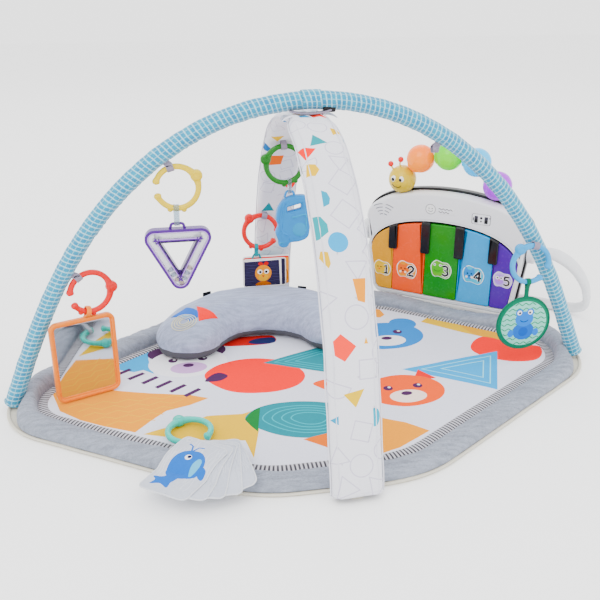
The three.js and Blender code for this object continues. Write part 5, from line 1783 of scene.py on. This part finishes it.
# ---------- crinkle cards ----------
def make_cards():
    base = (-190, -186)
    card = rounded([(-14, -108, 8), (54, -108, 8), (57, -8, 9), (-12, -2, 9)], 6)
    edge_loop = mat_outline(0)
    look = cloth("crinkle_print", "print", vary=0.06, weave=1000, bump=0.5)
    thread = cloth("card_overlock", (226, 228, 232), vary=0.08)

    def turned(points, turn):
        c, s = math.cos(turn), math.sin(turn)
        return [(base[0] + x * c - y * s, base[1] + x * s + y * c) for x, y in points]

    def sag(x, y):
        spot = np.array([[x, y]])
        d = float(nearest_distance(spot, edge_loop)[0])
        if inside(spot, edge_loop)[0]:
            return -min(3.2, 0.16 * max(0.0, d))
        over = max(0.0, d - 34)
        return -min(11.0, 0.011 * over * over)

    def build(name, turn, low, seed, ground, picture, body, nodes):
        lines = []
        for n in range(22):
            top = noise.noise(Vector((n * 3.1, seed, 0.5)))
            x, y = -9 + n * 2.9, -98 + 40 * (top + 0.6)
            streak = [(x + 1.2 * math.sin(k * 1.3 + n), y + k * 6) for k in range(9)]
            lines.append((ground[1], stroke(turned([p for p in streak if p[1] < 4], turn), 0.9)))
        outline = spaced(turned(card, turn), 3.0)
        hole = turned(circle(-2, -10, 3.6, 24), turn)

        def height(x, y):
            crinkle = 0.45 * noise.noise(Vector((x / 7, y / 7, seed))) + 0.25 * noise.noise(
                Vector((x / 3, y / 3, seed + 3)))
            return low + 0.7 + sag(x, y) + crinkle

        place = lambda x, y: Vector((x, y, height(x, y))) * MM
        shapes = [(colour, [loop for loop in loops]) for colour, loops in lines] + picture
        face = printed(f"{name}_cloth", outline, ground[0], shapes, 3.2, place, look, wall=1.2)
        rim = tube(f"{name}_overlock", [place(x, y) - Vector((0, 0, 0.6)) * MM for x, y in outline],
                   lambda i: [(1.0 * math.cos(TAU * k / 8), 0.9 * math.sin(TAU * k / 8)) for k in range(8)],
                   thread, closed=True, uv=False)
        grommet = tube(f"{name}_grommet", [place(x, y) + Vector((0, 0, 0.1)) * MM for x, y in hole],
                       lambda i: disc_section(0.9, 8), thread, closed=True, uv=False)
        made = joined(name, [face, rim, grommet])
        settle(made, body, "card_cloth", *nodes)
        return made

    greys = [((204, 207, 216), (222, 224, 231)), ((212, 215, 223), (198, 201, 210))]
    for n, turn in enumerate((0.14, -0.05, -0.25, -0.44)):
        build(f"crinkle_card_{n + 1}", turn, 30.7 + 1.42 * n, n * 7.0, greys[n % 2], [], "card_set",
              ["card_fan"] if n == 0 else [])
    # a plain blue whale blowing, drawn along the card
    def on_card(points):
        return turned(points, -0.64)

    blue, pale = (0, 125, 205), (150, 205, 235)
    whale = soft([(2, -72), (-2, -56), (2, -40), (12, -30), (26, -28), (38, -36), (44, -50), (40, -64), (28,
                                                                                                         -72),
                  (14, -76)], 5)
    fluke = soft([(8, -68), (4, -78), (-8, -82), (-2, -88), (-4, -97), (8, -92), (20, -96), (19, -84), (22,
                                                                                                        -70)], 5)
    picture = [
        (blue, [on_card(fluke)]), (blue, [on_card(whale)]),
        (pale, [on_card(soft([(32, -66), (38, -56), (38, -44), (32, -40), (28, -52)]))]),
        (blue, [on_card(soft([(40, -60), (50, -66), (50, -54), (42, -50)]))]),
        ((250, 250, 252), [on_card(circle(17, -42, 4.6, 22))]), ((25, 30, 70), [on_card(circle(18, -41, 2.6,
                                                                                               18))]),
        (blue, stroke(on_card([(14, -30), (10, -20), (3, -17)]), 2.4)),
        (blue, stroke(on_card([(15, -30), (19, -20), (26, -18)]), 2.4)),
    ]
    build("crinkle_card_top", -0.64, 36.6, 41.0, ((210, 213, 221), (228, 230, 236)), picture, "card_flap",
          ["card_top"])
    # sewn tab from the fan's corner down to the ring
    start = Vector((-196, -138 - RING_RADIUS, 17.8))
    end = Vector((-195, -184, 31.2))
    run = (end - start).normalized()
    across = Vector((1, 0, 0))
    rise = across.cross(run).normalized()
    path = [start + run * 5.4 * math.cos(a) + rise * 5.4 * math.sin(a) for a in np.linspace(0.7, TAU - 0.7,
                                                                                            26)]
    path = [end + rise * 0.6] + path + [end - rise * 0.6]
    web = woven("card_tab_webbing", (190, 192, 200))
    tab = tube("card_tab", smooth_path([p * MM for p in path], 2), lambda i: box_section(0.45, 3.8, 0.8), web,
               up=(1, 0, 0))
    settle(tab, "card_set", "card_cloth")


make_cards()


# ---------- CAD pieces that stay ----------
def dress(look, slot_name, *nodes):
    for name in nodes:
        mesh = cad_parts[name].data
        mesh.materials.clear()
        mesh.materials.append(look.material)




# ---------- piano ----------
PIANO = local(292, 228, 0, -0.663)
FRONT_DEPTH, BACK_DEPTH = 26, 22
KEY_EDGES = [-150, -95, -32, 32, 95, 150]
KEY_COLOURS = [(244, 192, 0), (255, 132, 0), (70, 152, 28), (0, 182, 234), (84, 26, 158)]


def bezier(points, count):
    """Points of a Bezier curve, without its last one."""
    out = []
    order = len(points) - 1
    for i in range(count):
        t = i / count
        out.append(tuple(sum(math.comb(order, k) * (1 - t) ** (order - k) * t ** k * p[axis]
                             for k, p in enumerate(points)) for axis in (0, 1)))
    return out


def case_outline(grow=0.0):
    fx, fz = (152 + grow) / 152, (105 + grow) / 105
    curve = [(-116, 17)] + bezier([(116, 17), (132, 17), (134, 33)], 8) + [(134, 33)]
    curve += bezier([(152, 165), (157, 205), (80, 227), (0, 227)], 22)
    curve += bezier([(0, 227), (-80, 227), (-157, 205), (-152, 165)], 22) + [(-152, 165)]
    curve += bezier([(-134, 33), (-132, 17), (-116, 17)], 8)
    return [(u * fx, 122 + (v - 122) * fz) for u, v in curve]


def window_outline(side=0.0, top=0.0):
    low, high = 27 + side, 174 - top
    curve = [(-116, low)] + bezier([(116, low), (129 - side, low), (130 - side, low + 14)], 7)
    curve += [(130 - side, low + 14)]
    curve += bezier([(141 - side, 105), (141 - side, 150 - top), (80, high), (0, high)], 20)
    curve += bezier([(0, high), (-80, high), (-141 + side, 150 - top), (-141 + side, 105)], 20)
    curve += [(-141 + side, 105)]
    curve += bezier([(-130 + side, low + 14), (-129 + side, low), (-116, low)], 7)
    return curve


def clipped(loop, limit, keep_above, axis=0):
    """Part of a convex loop on one side of a line along the other axis."""
    out = []
    for a, b in zip(loop, loop[1:] + loop[:1]):
        ina = a[axis] >= limit if keep_above else a[axis] <= limit
        inb = b[axis] >= limit if keep_above else b[axis] <= limit
        if ina:
            out.append(a)
        if ina != inb:
            t = (limit - a[axis]) / (b[axis] - a[axis])
            out.append((a[0] + (b[0] - a[0]) * t, a[1] + (b[1] - a[1]) * t))
    return out


def cleaned(loop, least=0.5):
    out = []
    for point in loop:
        if not out or math.dist(out[-1], point) > least:
            out.append(point)
    if math.dist(out[0], out[-1]) < least:
        out.pop()
    return out


def filleted(loop, radius):
    """Rounds the loop's corners that turn sharply."""
    corners = []
    for i, point in enumerate(loop):
        before, after = Vector(loop[i - 1]), Vector(loop[(i + 1) % len(loop)])
        here = Vector(point)
        angle = (here - before).angle(after - here)
        corners.append((point, angle > 0.6))
    out = []
    for i, (point, sharp_corner) in enumerate(corners):
        if not sharp_corner:
            out.append(point)
            continue
        here = Vector(point)
        before, after = Vector(loop[i - 1]), Vector(loop[(i + 1) % len(loop)])
        reach = min(radius, (here - before).length * 0.48, (after - here).length * 0.48)
        start = here + (before - here).normalized() * reach
        end = here + (after - here).normalized() * reach
        for k in range(6):
            t = k / 5
            out.append(tuple((1 - t) ** 2 * start + 2 * t * (1 - t) * here + t * t * end))
    return out


def decal(name, outline, ground, shapes, depth, body, slot_name, look, step=2.2):
    made = printed(name, outline, ground, shapes, step, lambda u, v: PIANO(u, depth, v), look, wall=0.12)
    settle(made, body, slot_name)


DIGITS = {
    1: [[(-4.5, 7.5), (1.5, 12), (1.5, -12)], [(-5, -12), (7, -12)]],
    2: [[(-7, 6), (-4, 11), (2, 12.5), (7, 8.5), (6, 2.5), (-1, -4), (-7.5, -11.5), (8, -11.5)]],
    3: [[(-7, 10), (0, 12.5), (6, 9), (5, 3), (-1, 1), (6, -2), (7, -8), (0, -12.5), (-7, -9.5)]],
    4: [[(4, -12.5), (4, 12.5)], [(4, 12.5), (-8, -3.5), (9, -3.5)]],
    5: [[(7, 12), (-5, 12), (-6, 2.5), (1, 4), (7, -1), (6, -8.5), (0, -12), (-7.5, -9.5)]],
}


def digit(number, u, v, size, width):
    loops = []
    for line in DIGITS[number]:
        points = [(u + x * size, v + y * size) for x, y in line]
        dense = []
        for a, b in zip(points, points[1:]):
            count = max(2, int(math.dist(a, b) / 1.5))
            dense += [(a[0] + (b[0] - a[0]) * k / count,
                       a[1] + (b[1] - a[1]) * k / count) for k in range(count)]
        loops.append(stroke(dense + [points[-1]], width)[0])
    return loops


def key_picture(n, u, v, tint, dark):
    """Own plain animal for each key: chick, kitten, frog, puppy and owl, all seen from the front."""
    shapes = []
    if n == 1:
        shapes += [(tint, [circle(u, v, 11, 36)]), (dark, [circle(u - 4, v + 2, 1.7, 14)]),
                   (dark, [circle(u + 4, v + 2, 1.7, 14)]), ((240, 110, 30), [[(u - 3, v - 2), (u + 3, v - 2),
                                                                             (u, v - 6)]]),
                   (tint, [soft([(u - 2, v + 10), (u - 4, v + 16), (u, v + 13), (u + 4, v + 16), (u + 2,
                                                                                                  v + 10)])])]
    elif n in (2, 4):
        ear = 7 if n == 2 else 9
        shapes += [(tint, [[(u - 11, v + 3), (u - 9, v + 8 + ear), (u - 2, v + 9)]]),
                   (tint, [[(u + 11, v + 3), (u + 9, v + 8 + ear), (u + 2, v + 9)]]),
                   (tint, [circle(u, v, 11.5, 36, 0.9)]), (dark, [circle(u - 4.2, v + 2, 1.7, 14)]),
                   (dark, [circle(u + 4.2, v + 2, 1.7, 14)]), (dark, [circle(u, v - 3, 2.0, 14, 0.7)]),
                   ((255, 246, 232), [circle(u - 5.5, v - 5.5, 2.6, 14)]),
                   ((255, 246, 232), [circle(u + 5.5, v - 5.5, 2.6, 14)])]
    elif n == 3:
        shapes += [(tint, [circle(u - 6, v + 9, 4.6, 20)]), (tint, [circle(u + 6, v + 9, 4.6, 20)]),
                   (tint, [circle(u, v, 12, 36, 0.8)]), ((250, 252, 246), [circle(u - 6, v + 9, 2.8, 16)]),
                   ((250, 252, 246), [circle(u + 6, v + 9, 2.8, 16)]), (dark, [circle(u - 6, v + 9, 1.4,
                                                                                      12)]),
                   (dark, [circle(u + 6, v + 9, 1.4, 12)]),
                   (dark, stroke([(u + 7 * math.cos(a), v - 0.5 + 4 * math.sin(a))
                                  for a in np.linspace(3.4, 6.0, 12)], 1.0))]
    else:
        shapes += [(tint, [circle(u, v, 11, 36, 1.1)]), ((250, 250, 250), [circle(u - 4.6, v + 4, 4.2, 20)]),
                   ((250, 250, 250), [circle(u + 4.6, v + 4, 4.2, 20)]), (dark, [circle(u - 4.2, v + 4, 2,
                                                                                        14)]),
                   (dark, [circle(u + 4.2, v + 4, 2, 14)]), ((250, 170, 60), [[(u - 2, v), (u + 2, v), (u,
                                                                                                        v - 4)]])]
    return shapes


def make_piano():
    shell_white = plastic("piano_white", (243, 243, 245), roughness=0.22, coat=0.5, vary=0.01)
    case = case_outline()
    window = window_outline()
    slots = [rounded(box_corners(x - 3, x + 3, 184, 196, 1.2), 3) for x in (58, 76)]
    front = slab("piano_front", [case, window] + slots, 0, FRONT_DEPTH, 5.5, PIANO, shell_white, steps=6,
                 back_bevel=0.5, sharp=55)
    settle(front, "piano", "white_plastic", "piano_front_shell")
    lip = [PIANO(u, -0.2, v) for u, v in grown(window, 1.6)]
    depth = (PIANO(0, 1, 0) - PIANO(0, 0, 0)).normalized()
    bead = tube("window_bead", lip, lambda i: disc_section(1.1, 10), shell_white, closed=True,
                up=tuple(depth))
    settle(bead, "piano", "white_plastic")
    floor = slab("key_bed", [grown(window, 2.0)], 13, 15, 0.4, PIANO, look_black, steps=1)
    settle(floor, "piano", "black_plastic")
    rim = slab("piano_back", [case_outline(4)], FRONT_DEPTH + 0.3, FRONT_DEPTH + BACK_DEPTH, 2.5, PIANO,
               look_black, steps=4, back_bevel=7)
    parts = [rim]
    for n in range(7):
        v = 150 + n * 5
        parts.append(slab(f"back_rib_{n}", [rounded(box_corners(-40, 40, v, v + 2.2, 1.0), 3)], 47.6, 48.9,
                          0.5,
                          PIANO, look_black, steps=2))
    for n, (u, v) in enumerate(((-120, 45), (120, 45), (-130, 160), (130, 160), (0, 205))):
        parts.append(lathe(f"screw_boss_{n}", [(0.01, 47.2), (2.2, 47.2), (2.2, 48.4), (5, 48.6), (5.8, 48),
                                               (6, 47)],
                           lambda a, b, h, u=u, v=v: PIANO(u + a, h, v + b), look_black, around=28))
    back = joined("piano_back_case", parts)
    settle(back, "piano", "black_plastic", "piano_back_shell")
    door_parts = [slab("door_plate", [rounded(box_corners(-45.5, 45.5, 60.5, 119.5, 5), 6)], 46.5, 48.6, 0.8,
                       PIANO, look_black, steps=3)]
    for n in range(5):
        door_parts.append(slab(f"door_grip_{n}", [rounded(box_corners(-12, 12, 66 + n * 3, 67.4 + n * 3,
                                                                      0.6), 3)],
                               48.4, 49.3, 0.4, PIANO, look_black, steps=2))
    steel = Look("screw_steel", Metallic=1.0, Roughness=0.35)
    steel.shader.inputs["Base Color"].default_value = (0.6, 0.6, 0.6, 1)
    door_parts.append(lathe("door_screw", [(0.01, 49.0), (1.0, 49.0), (2.6, 49.3), (3.2, 48.6), (3.2, 48)],
                            lambda a, b, h: PIANO(a, h, 112 + b), steel, around=24))
    door = joined("battery_cover", door_parts)
    settle(door, "piano", "black_plastic", "battery_door")

    plate = window_outline(1.2, 4)
    print_look = Look("key_sticker", Roughness=0.35, Specular_IOR_Level=0.15)
    print_look.to(base_colour(print_look, "print"), "Base Color")
    print_look.to(print_look.bump(print_look.noise(700), 0.05, 0.0002), "Normal")
    dark = (30, 26, 34)
    spots = [(-115, 68), (-66, 72), (1, 84), (62, 84), (116, 84)]
    tints = [(255, 214, 60), (255, 150, 40), (140, 205, 70), (40, 160, 225), (190, 150, 235)]
    for n in range(5):
        strip = clipped(clipped(plate, KEY_EDGES[n] + 0.4, True), KEY_EDGES[n + 1] - 0.4, False)
        strip = filleted(cleaned(strip), 3.0)
        look = plastic(f"key_{n + 1}_gloss", KEY_COLOURS[n], roughness=0.25, coat=0.4, soft=0.05)
        key = slab(f"key_{n + 1}_cap", [strip], -1.2, 6, 2.0, PIANO, look, steps=4, back_bevel=0.4)
        settle(key, f"key_body_{n + 1}", ["key_yellow", "key_orange", "key_green", "key_sky",
                                          "key_purple"][n],
               f"key_{n + 1}")
        u, v = spots[n]
        du = 8
        border = soft([(u - 20, v - 8), (u - 22, v + 8), (u - 12, v + 20), (u + 2, v + 17), (u + 14, v + 16),
                       (u + 22, v + 4), (u + 20, v - 10), (u + 12, v - 18), (u - 4, v - 15), (u - 14,
                                                                                              v - 16)], 6)
        shapes = [(tuple(int(c * 0.55 + 110) for c in KEY_COLOURS[n]) if n != 4 else (205, 190, 235),
                   [scaled(border, 0.93)])]
        shapes += key_picture(n + 1, u - du, v + 1, tints[n], dark)
        shapes += [((252, 252, 250), [loop]) for loop in digit(n + 1, u + du + 1, v - 1, 0.86, 7.0)]
        shapes += [(dark, [loop]) for loop in digit(n + 1, u + du + 1, v - 1, 0.86, 4.2)]
        small = 0.78 if n in (0, 4) else 0.9
        shapes = [(colour, [scaled(loop, small, (u, v)) for loop in group]) for colour, group in shapes]
        border = scaled(border, small, (u, v))
        decal(f"key_{n + 1}_sticker", border, (252, 252, 250), shapes, -1.32, f"key_body_{n + 1}",
              ["key_yellow", "key_orange", "key_green", "key_sky", "key_purple"][n], print_look, step=1.6)
    # black keys, one moulding
    limit = window_outline(0.5, 0.5)
    blocks = []
    gloss_black = plastic("black_gloss", (10, 9, 12), roughness=0.18, coat=0.6)
    for n, x in enumerate((-95, -32, 32, 95)):
        strip = clipped(clipped(clipped(limit, x - 8.5, True), x + 8.5, False), 112, True, axis=1)
        blocks.append(slab(f"sharp_{n}", [filleted(cleaned(strip), 3.5)], -7.4, -1.5, 2.4, PIANO, gloss_black,
                           steps=5, back_bevel=0.3))
    made = joined("black_keys", blocks)
    settle(made, "piano", "black_plastic", "sharps")

    # grille arcs as grey beads: painted shade of the grooves engraved in the white shell; emblem and switch plate
    grille = plastic("grille_painted_shade_grey", (120, 122, 128), roughness=0.5, coat=0.0)
    n = 0
    for r in (12, 19, 26, 33):
        for start, end in ((0.95, 1.45), (1.65, 2.2)):
            n += 1
            points = [PIANO(-118 + r * math.cos(a), -0.15, 165 + 0.9 * r * math.sin(a))
                      for a in np.linspace(start, end, 12)]
            slit = tube(f"grille_groove_painted_shade_{n}", points, lambda i: [
                (0.75 * math.cos(TAU * k / 8), 0.5 * math.sin(TAU * k / 8)) for k in range(8)], grille,
                up=tuple(depth), uv=False)
            settle(slit, "piano", "white_plastic")
    ink = (40, 38, 44)
    round_badge = circle(-27, 197, 9.5, 48)
    badge = [(ink, [circle(-27, 197, 9.5, 48), circle(-27, 197, 8.6, 44)]),
             (ink, [circle(-30, 198.5, 1.1, 12)]), (ink, [circle(-24, 198.5, 1.1, 12)]),
             (ink, stroke([(-27 + 4.4 * math.cos(a), 196.5 + 4 * math.sin(a))
                           for a in np.linspace(3.5, 5.9, 12)], 1.0))]
    decal("round_badge", round_badge, (250, 250, 250), badge, -0.15, "piano", "white_plastic", print_look,
          1.6)
    stripes = [(-13, 190), (17, 190), (17, 203), (-13, 203)]
    waves = [(ink, stroke([(-12 + t, 199.5 + 1.2 * math.sin(t * 0.9)) for t in np.linspace(0, 26, 30)], 1.2)),
             (ink, stroke([(-12 + t, 194 + 1.2 * math.sin(t * 0.9 + 1)) for t in np.linspace(0, 20, 24)],
                          1.2))]
    decal("wave_badge", stripes, (244, 244, 246), waves, -0.14, "piano", "white_plastic", print_look, 1.6)
    surround = rounded(box_corners(50, 84, 181, 200, 3), 5)
    marks = [(ink, [surround, scaled(surround, 0.95)])]
    for x in (58, 76):
        hole = rounded(box_corners(x - 3.2, x + 3.2, 183.8, 196.2, 1.2), 3)
        marks.append(((60, 58, 64), [hole]))
    marks += [(ink, [circle(67, 187, 1.6, 14)]), (ink, [circle(67, 193, 2.4, 14)]),
              (ink, [[(52, 187), (54, 187), (54, 193), (52, 193)]]), (ink, [circle(82, 194, 1.2, 12)])]
    decal("switch_plate", surround, (246, 246, 248), marks, -0.15, "piano", "white_plastic", print_look, 1.8)
    for name, x, body in (("volume", 58, "volume_slider"), ("mode", 76, "mode_slider")):
        cap = slab(f"{name}_knob", [rounded(box_corners(x - 2.7, x + 2.7, 184.3, 189.9, 1.0), 4)], -2.8,
                   3.0, 0.8,
                   PIANO, look_black, steps=3)
        ribs = [cap]
        for k in range(3):
            ribs.append(slab(f"{name}_rib_{k}", [rounded(box_corners(x - 2.2, x + 2.2, 185.4 + k * 1.5,
                                                                      186.0 + k * 1.5, 0.25), 2)],
                             -3.2, -2.5, 0.2, PIANO, look_black, steps=1))
        settle(joined(f"{name}_switch", ribs), body, "black_plastic", f"switch_{name}")


make_piano()


# ---------- lit bug ----------
BUG = [(-90, 242), (-57, 283), (-5, 293), (46, 287), (86, 250)]
BUG_DEPTH = 17


def make_bug():
    tints = [(255, 150, 20), (130, 222, 20), (30, 196, 240), (165, 30, 205)]
    cores = [(255, 214, 40), (226, 250, 60), (60, 176, 236), (150, 70, 225)]
    names = ["ball_orange", "ball_green", "ball_cyan", "ball_purple"]
    for n, ((u, v), tint) in enumerate(zip(BUG[1:], tints)):
        look = glow(f"{names[n]}_glow", tint, cores[n], 0.85, PIANO(u, BUG_DEPTH - 25.4, v))
        parts = [ball(f"lit_{n}", (u, BUG_DEPTH, v), 25.4, look, PIANO, around=56, rows=36)]
        before = BUG[n]
        du, dv = before[0] - u, before[1] - v
        far = math.hypot(du, dv)
        for k in range(2):
            reach = 23.0 + k * 1.6
            ring = []
            size = math.sqrt(25.4 ** 2 - min(25.2, reach) ** 2) + 0.6
            for a in np.linspace(0, TAU, 36, endpoint=False):
                cu, cv = du / far, dv / far
                ring.append(PIANO(u + cu * reach - cv * size * math.cos(a), BUG_DEPTH + size * math.sin(a),
                                  v + cv * reach + cu * size * math.cos(a)))
            axis = (PIANO(du, 0, dv) - PIANO(0, 0, 0)).normalized()
            parts.append(tube(f"lit_collar_{n}_{k}", ring, lambda i: disc_section(0.8, 8), look, closed=True,
                              up=tuple(axis), uv=False))
        made = joined(f"glow_ball_{n + 1}", parts)
        settle(made, "piano", names[n], f"light_ball_{n + 1}")
    yellow = plastic("bug_yellow", (246, 222, 30), roughness=0.28, coat=0.4, soft=0.15)
    u, v = BUG[0]
    coral = plastic("antenna_red", (235, 80, 45), roughness=0.25, coat=0.4, soft=0.1)
    parts = [ball("bug_skull", (u, BUG_DEPTH, v), 25.4, yellow, PIANO, around=56, rows=36)]
    for n, (du, dv) in enumerate(((-22, 27), (-3, 37))):
        path = smooth_path([PIANO(u + du * 0.5, BUG_DEPTH - 6, v + dv * 0.5),
                            PIANO(u + du * 0.78 - 1.5, BUG_DEPTH - 7, v + dv * 0.78),
                            PIANO(u + du, BUG_DEPTH - 6, v + dv)], 6)
        parts.append(tube(f"bug_stalk_{n}", path, lambda i: disc_section(1.5, 10), yellow, up=(0, 1, 0),
                          uv=False))
        parts.append(ball(f"bug_tip_{n}", (u + du, BUG_DEPTH - 6, v + dv), 5.2, coral, PIANO, around=24,
                          rows=14))
    dark = plastic("bug_dark", (24, 20, 26), roughness=0.2, coat=0.5)
    white = plastic("bug_eye_white", (250, 250, 250), roughness=0.2, coat=0.5)
    for n, x in enumerate((-8.5, 5.5)):
        parts.append(ball(f"bug_eye_{n}", (u + x, BUG_DEPTH - 22.2, v + 4), 5.4, white, PIANO, (1, 0.55,
                                                                                                1.15), 28,
                                                                                                16))
        parts.append(ball(f"bug_pupil_{n}", (u + x - 0.8, BUG_DEPTH - 24.4, v + 3.4), 3.0, dark, PIANO,
                          (1, 0.5, 1.1), 20, 12))
    smile = []
    for a in np.linspace(3.45, 5.75, 16):
        x, z = -2 + 9.5 * math.cos(a), -4 + 7 * math.sin(a)
        w = -math.sqrt(25.7 ** 2 - x * x - z * z)
        smile.append(PIANO(u + x, BUG_DEPTH + w, v + z))
    parts.append(tube("bug_smile", smile, lambda i: disc_section(0.7, 8), dark, up=(0, 1, 0), uv=False))
    made = joined("bug_face", parts)
    settle(made, "piano", "yellow_plastic", "bug_head")


make_bug()


# ---------- folding stand ----------
def make_stand():
    route = [(157, 24, 135), (196, 30, 136), (230, 52, 108), (250, 82, 60), (240, 104, 16), (150, 112, 9),
             (0, 114, 9)]
    whole = route + [(-u, w, v) for u, w, v in route[-2::-1]]
    points = smooth_path([PIANO(*p) for p in whole], 10)
    white = plastic("stand_white", (240, 241, 243), roughness=0.26, coat=0.4, vary=0.01)
    inward = (PIANO(0, 0.55, 0.83) - PIANO(0, 0, 0)).normalized()

    def section(i):
        share = i / (len(points) - 1)
        end = min(share, 1 - share)
        wide = 9.5 + 1.5 * math.sin(min(1.0, end / 0.25) * math.pi)
        return [(7.0 * math.copysign(abs(math.cos(a)) ** 0.8, math.cos(a)),
                 wide * math.copysign(abs(math.sin(a)) ** 0.8, math.sin(a)))
                for a in (TAU * k / 24 for k in range(24))]

    arm = tube("stand_arm", points, section, white, up=tuple(inward))
    crown(arm)
    parts = [arm]
    for n, sign in enumerate((1, -1)):
        profile = [(0.01, 165.5), (12, 165.5), (16.5, 164.8), (18.6, 162.6), (19, 160), (19, 152), (17.5,
                                                                                                    150.8),
                   (0.01, 150.8)]
        parts.append(lathe(f"stand_hub_{n}", profile,
                           lambda a, b, h, s=sign: PIANO(s * h, 24 + a, 135 + b), white, around=56))
        ring = [PIANO(sign * 165.3, 24 + 11 * math.cos(a), 135 + 11 * math.sin(a))
                for a in np.linspace(0, TAU, 48, endpoint=False)]
        axis = (PIANO(1, 0, 0) - PIANO(0, 0, 0)).normalized()
        parts.append(tube(f"stand_groove_{n}", ring, lambda i: disc_section(0.8, 8), white, closed=True,
                          up=tuple(axis), uv=False))
    for n, u in enumerate((-150, 0, 150)):
        pad = slab(f"stand_pad_{n}", [rounded(box_corners(u - 14, u + 14, 104, 122, 6), 5)], 0.4, 3.0, 0.8,
                   lambda u_, w, v: PIANO(u_, v, w), look_black, steps=2)
        parts.append(pad)
    made = joined("folding_stand", parts)
    settle(made, "stand_body", "white_plastic", "stand")


make_stand()

dress(plastic("rod_white", (215, 220, 224), roughness=0.4), "rod", "blue_pole_left", "blue_pole_right",
      "white_pole_front", "white_pole_rear")
dress(look_black, "black_plastic", "socket_left", "socket_right", "socket_front", "socket_rear", "speaker")
dress(plastic("board_green", (30, 110, 62), roughness=0.4), "circuit_green", "circuit_board")
# ---------- floor and light ----------
def make_stage():
    floor_look = Look("floor", Roughness=0.7)
    floor_look.shader.inputs["Base Color"].default_value = (0.96, 0.96, 0.96, 1)
    floor = piece("floor", [(-6, -6, 0), (6, -6, 0), (6, 6, 0), (-6, 6, 0)], [(0, 1, 2, 3)], floor_look,
                  smooth=False)
    world = bpy.data.worlds.new("studio")
    world.use_nodes = True
    world.node_tree.nodes["Background"].inputs["Color"].default_value = (1.0, 1.0, 1.0, 1.0)
    world.node_tree.nodes["Background"].inputs["Strength"].default_value = 2.45
    scene.world = world
    lamps = (
        ("key_light", (-1.2, -1.6, 2.6), 2.2, 62.0),
        ("fill_light", (2.2, -1.0, 1.8), 2.4, 25.0),
        ("back_light", (0.3, 2.2, 2.2), 2.0, 20.0),
    )
    for name, spot, size, power in lamps:
        data = bpy.data.lights.new(name, "AREA")
        data.size, data.energy = size, power
        lamp = bpy.data.objects.new(name, data)
        lamp.location = spot
        lamp.rotation_euler = (Vector(spot) - Vector((0, 0, 0.15))).to_track_quat("Z", "Y").to_euler()
        scene.collection.objects.link(lamp)


make_stage()
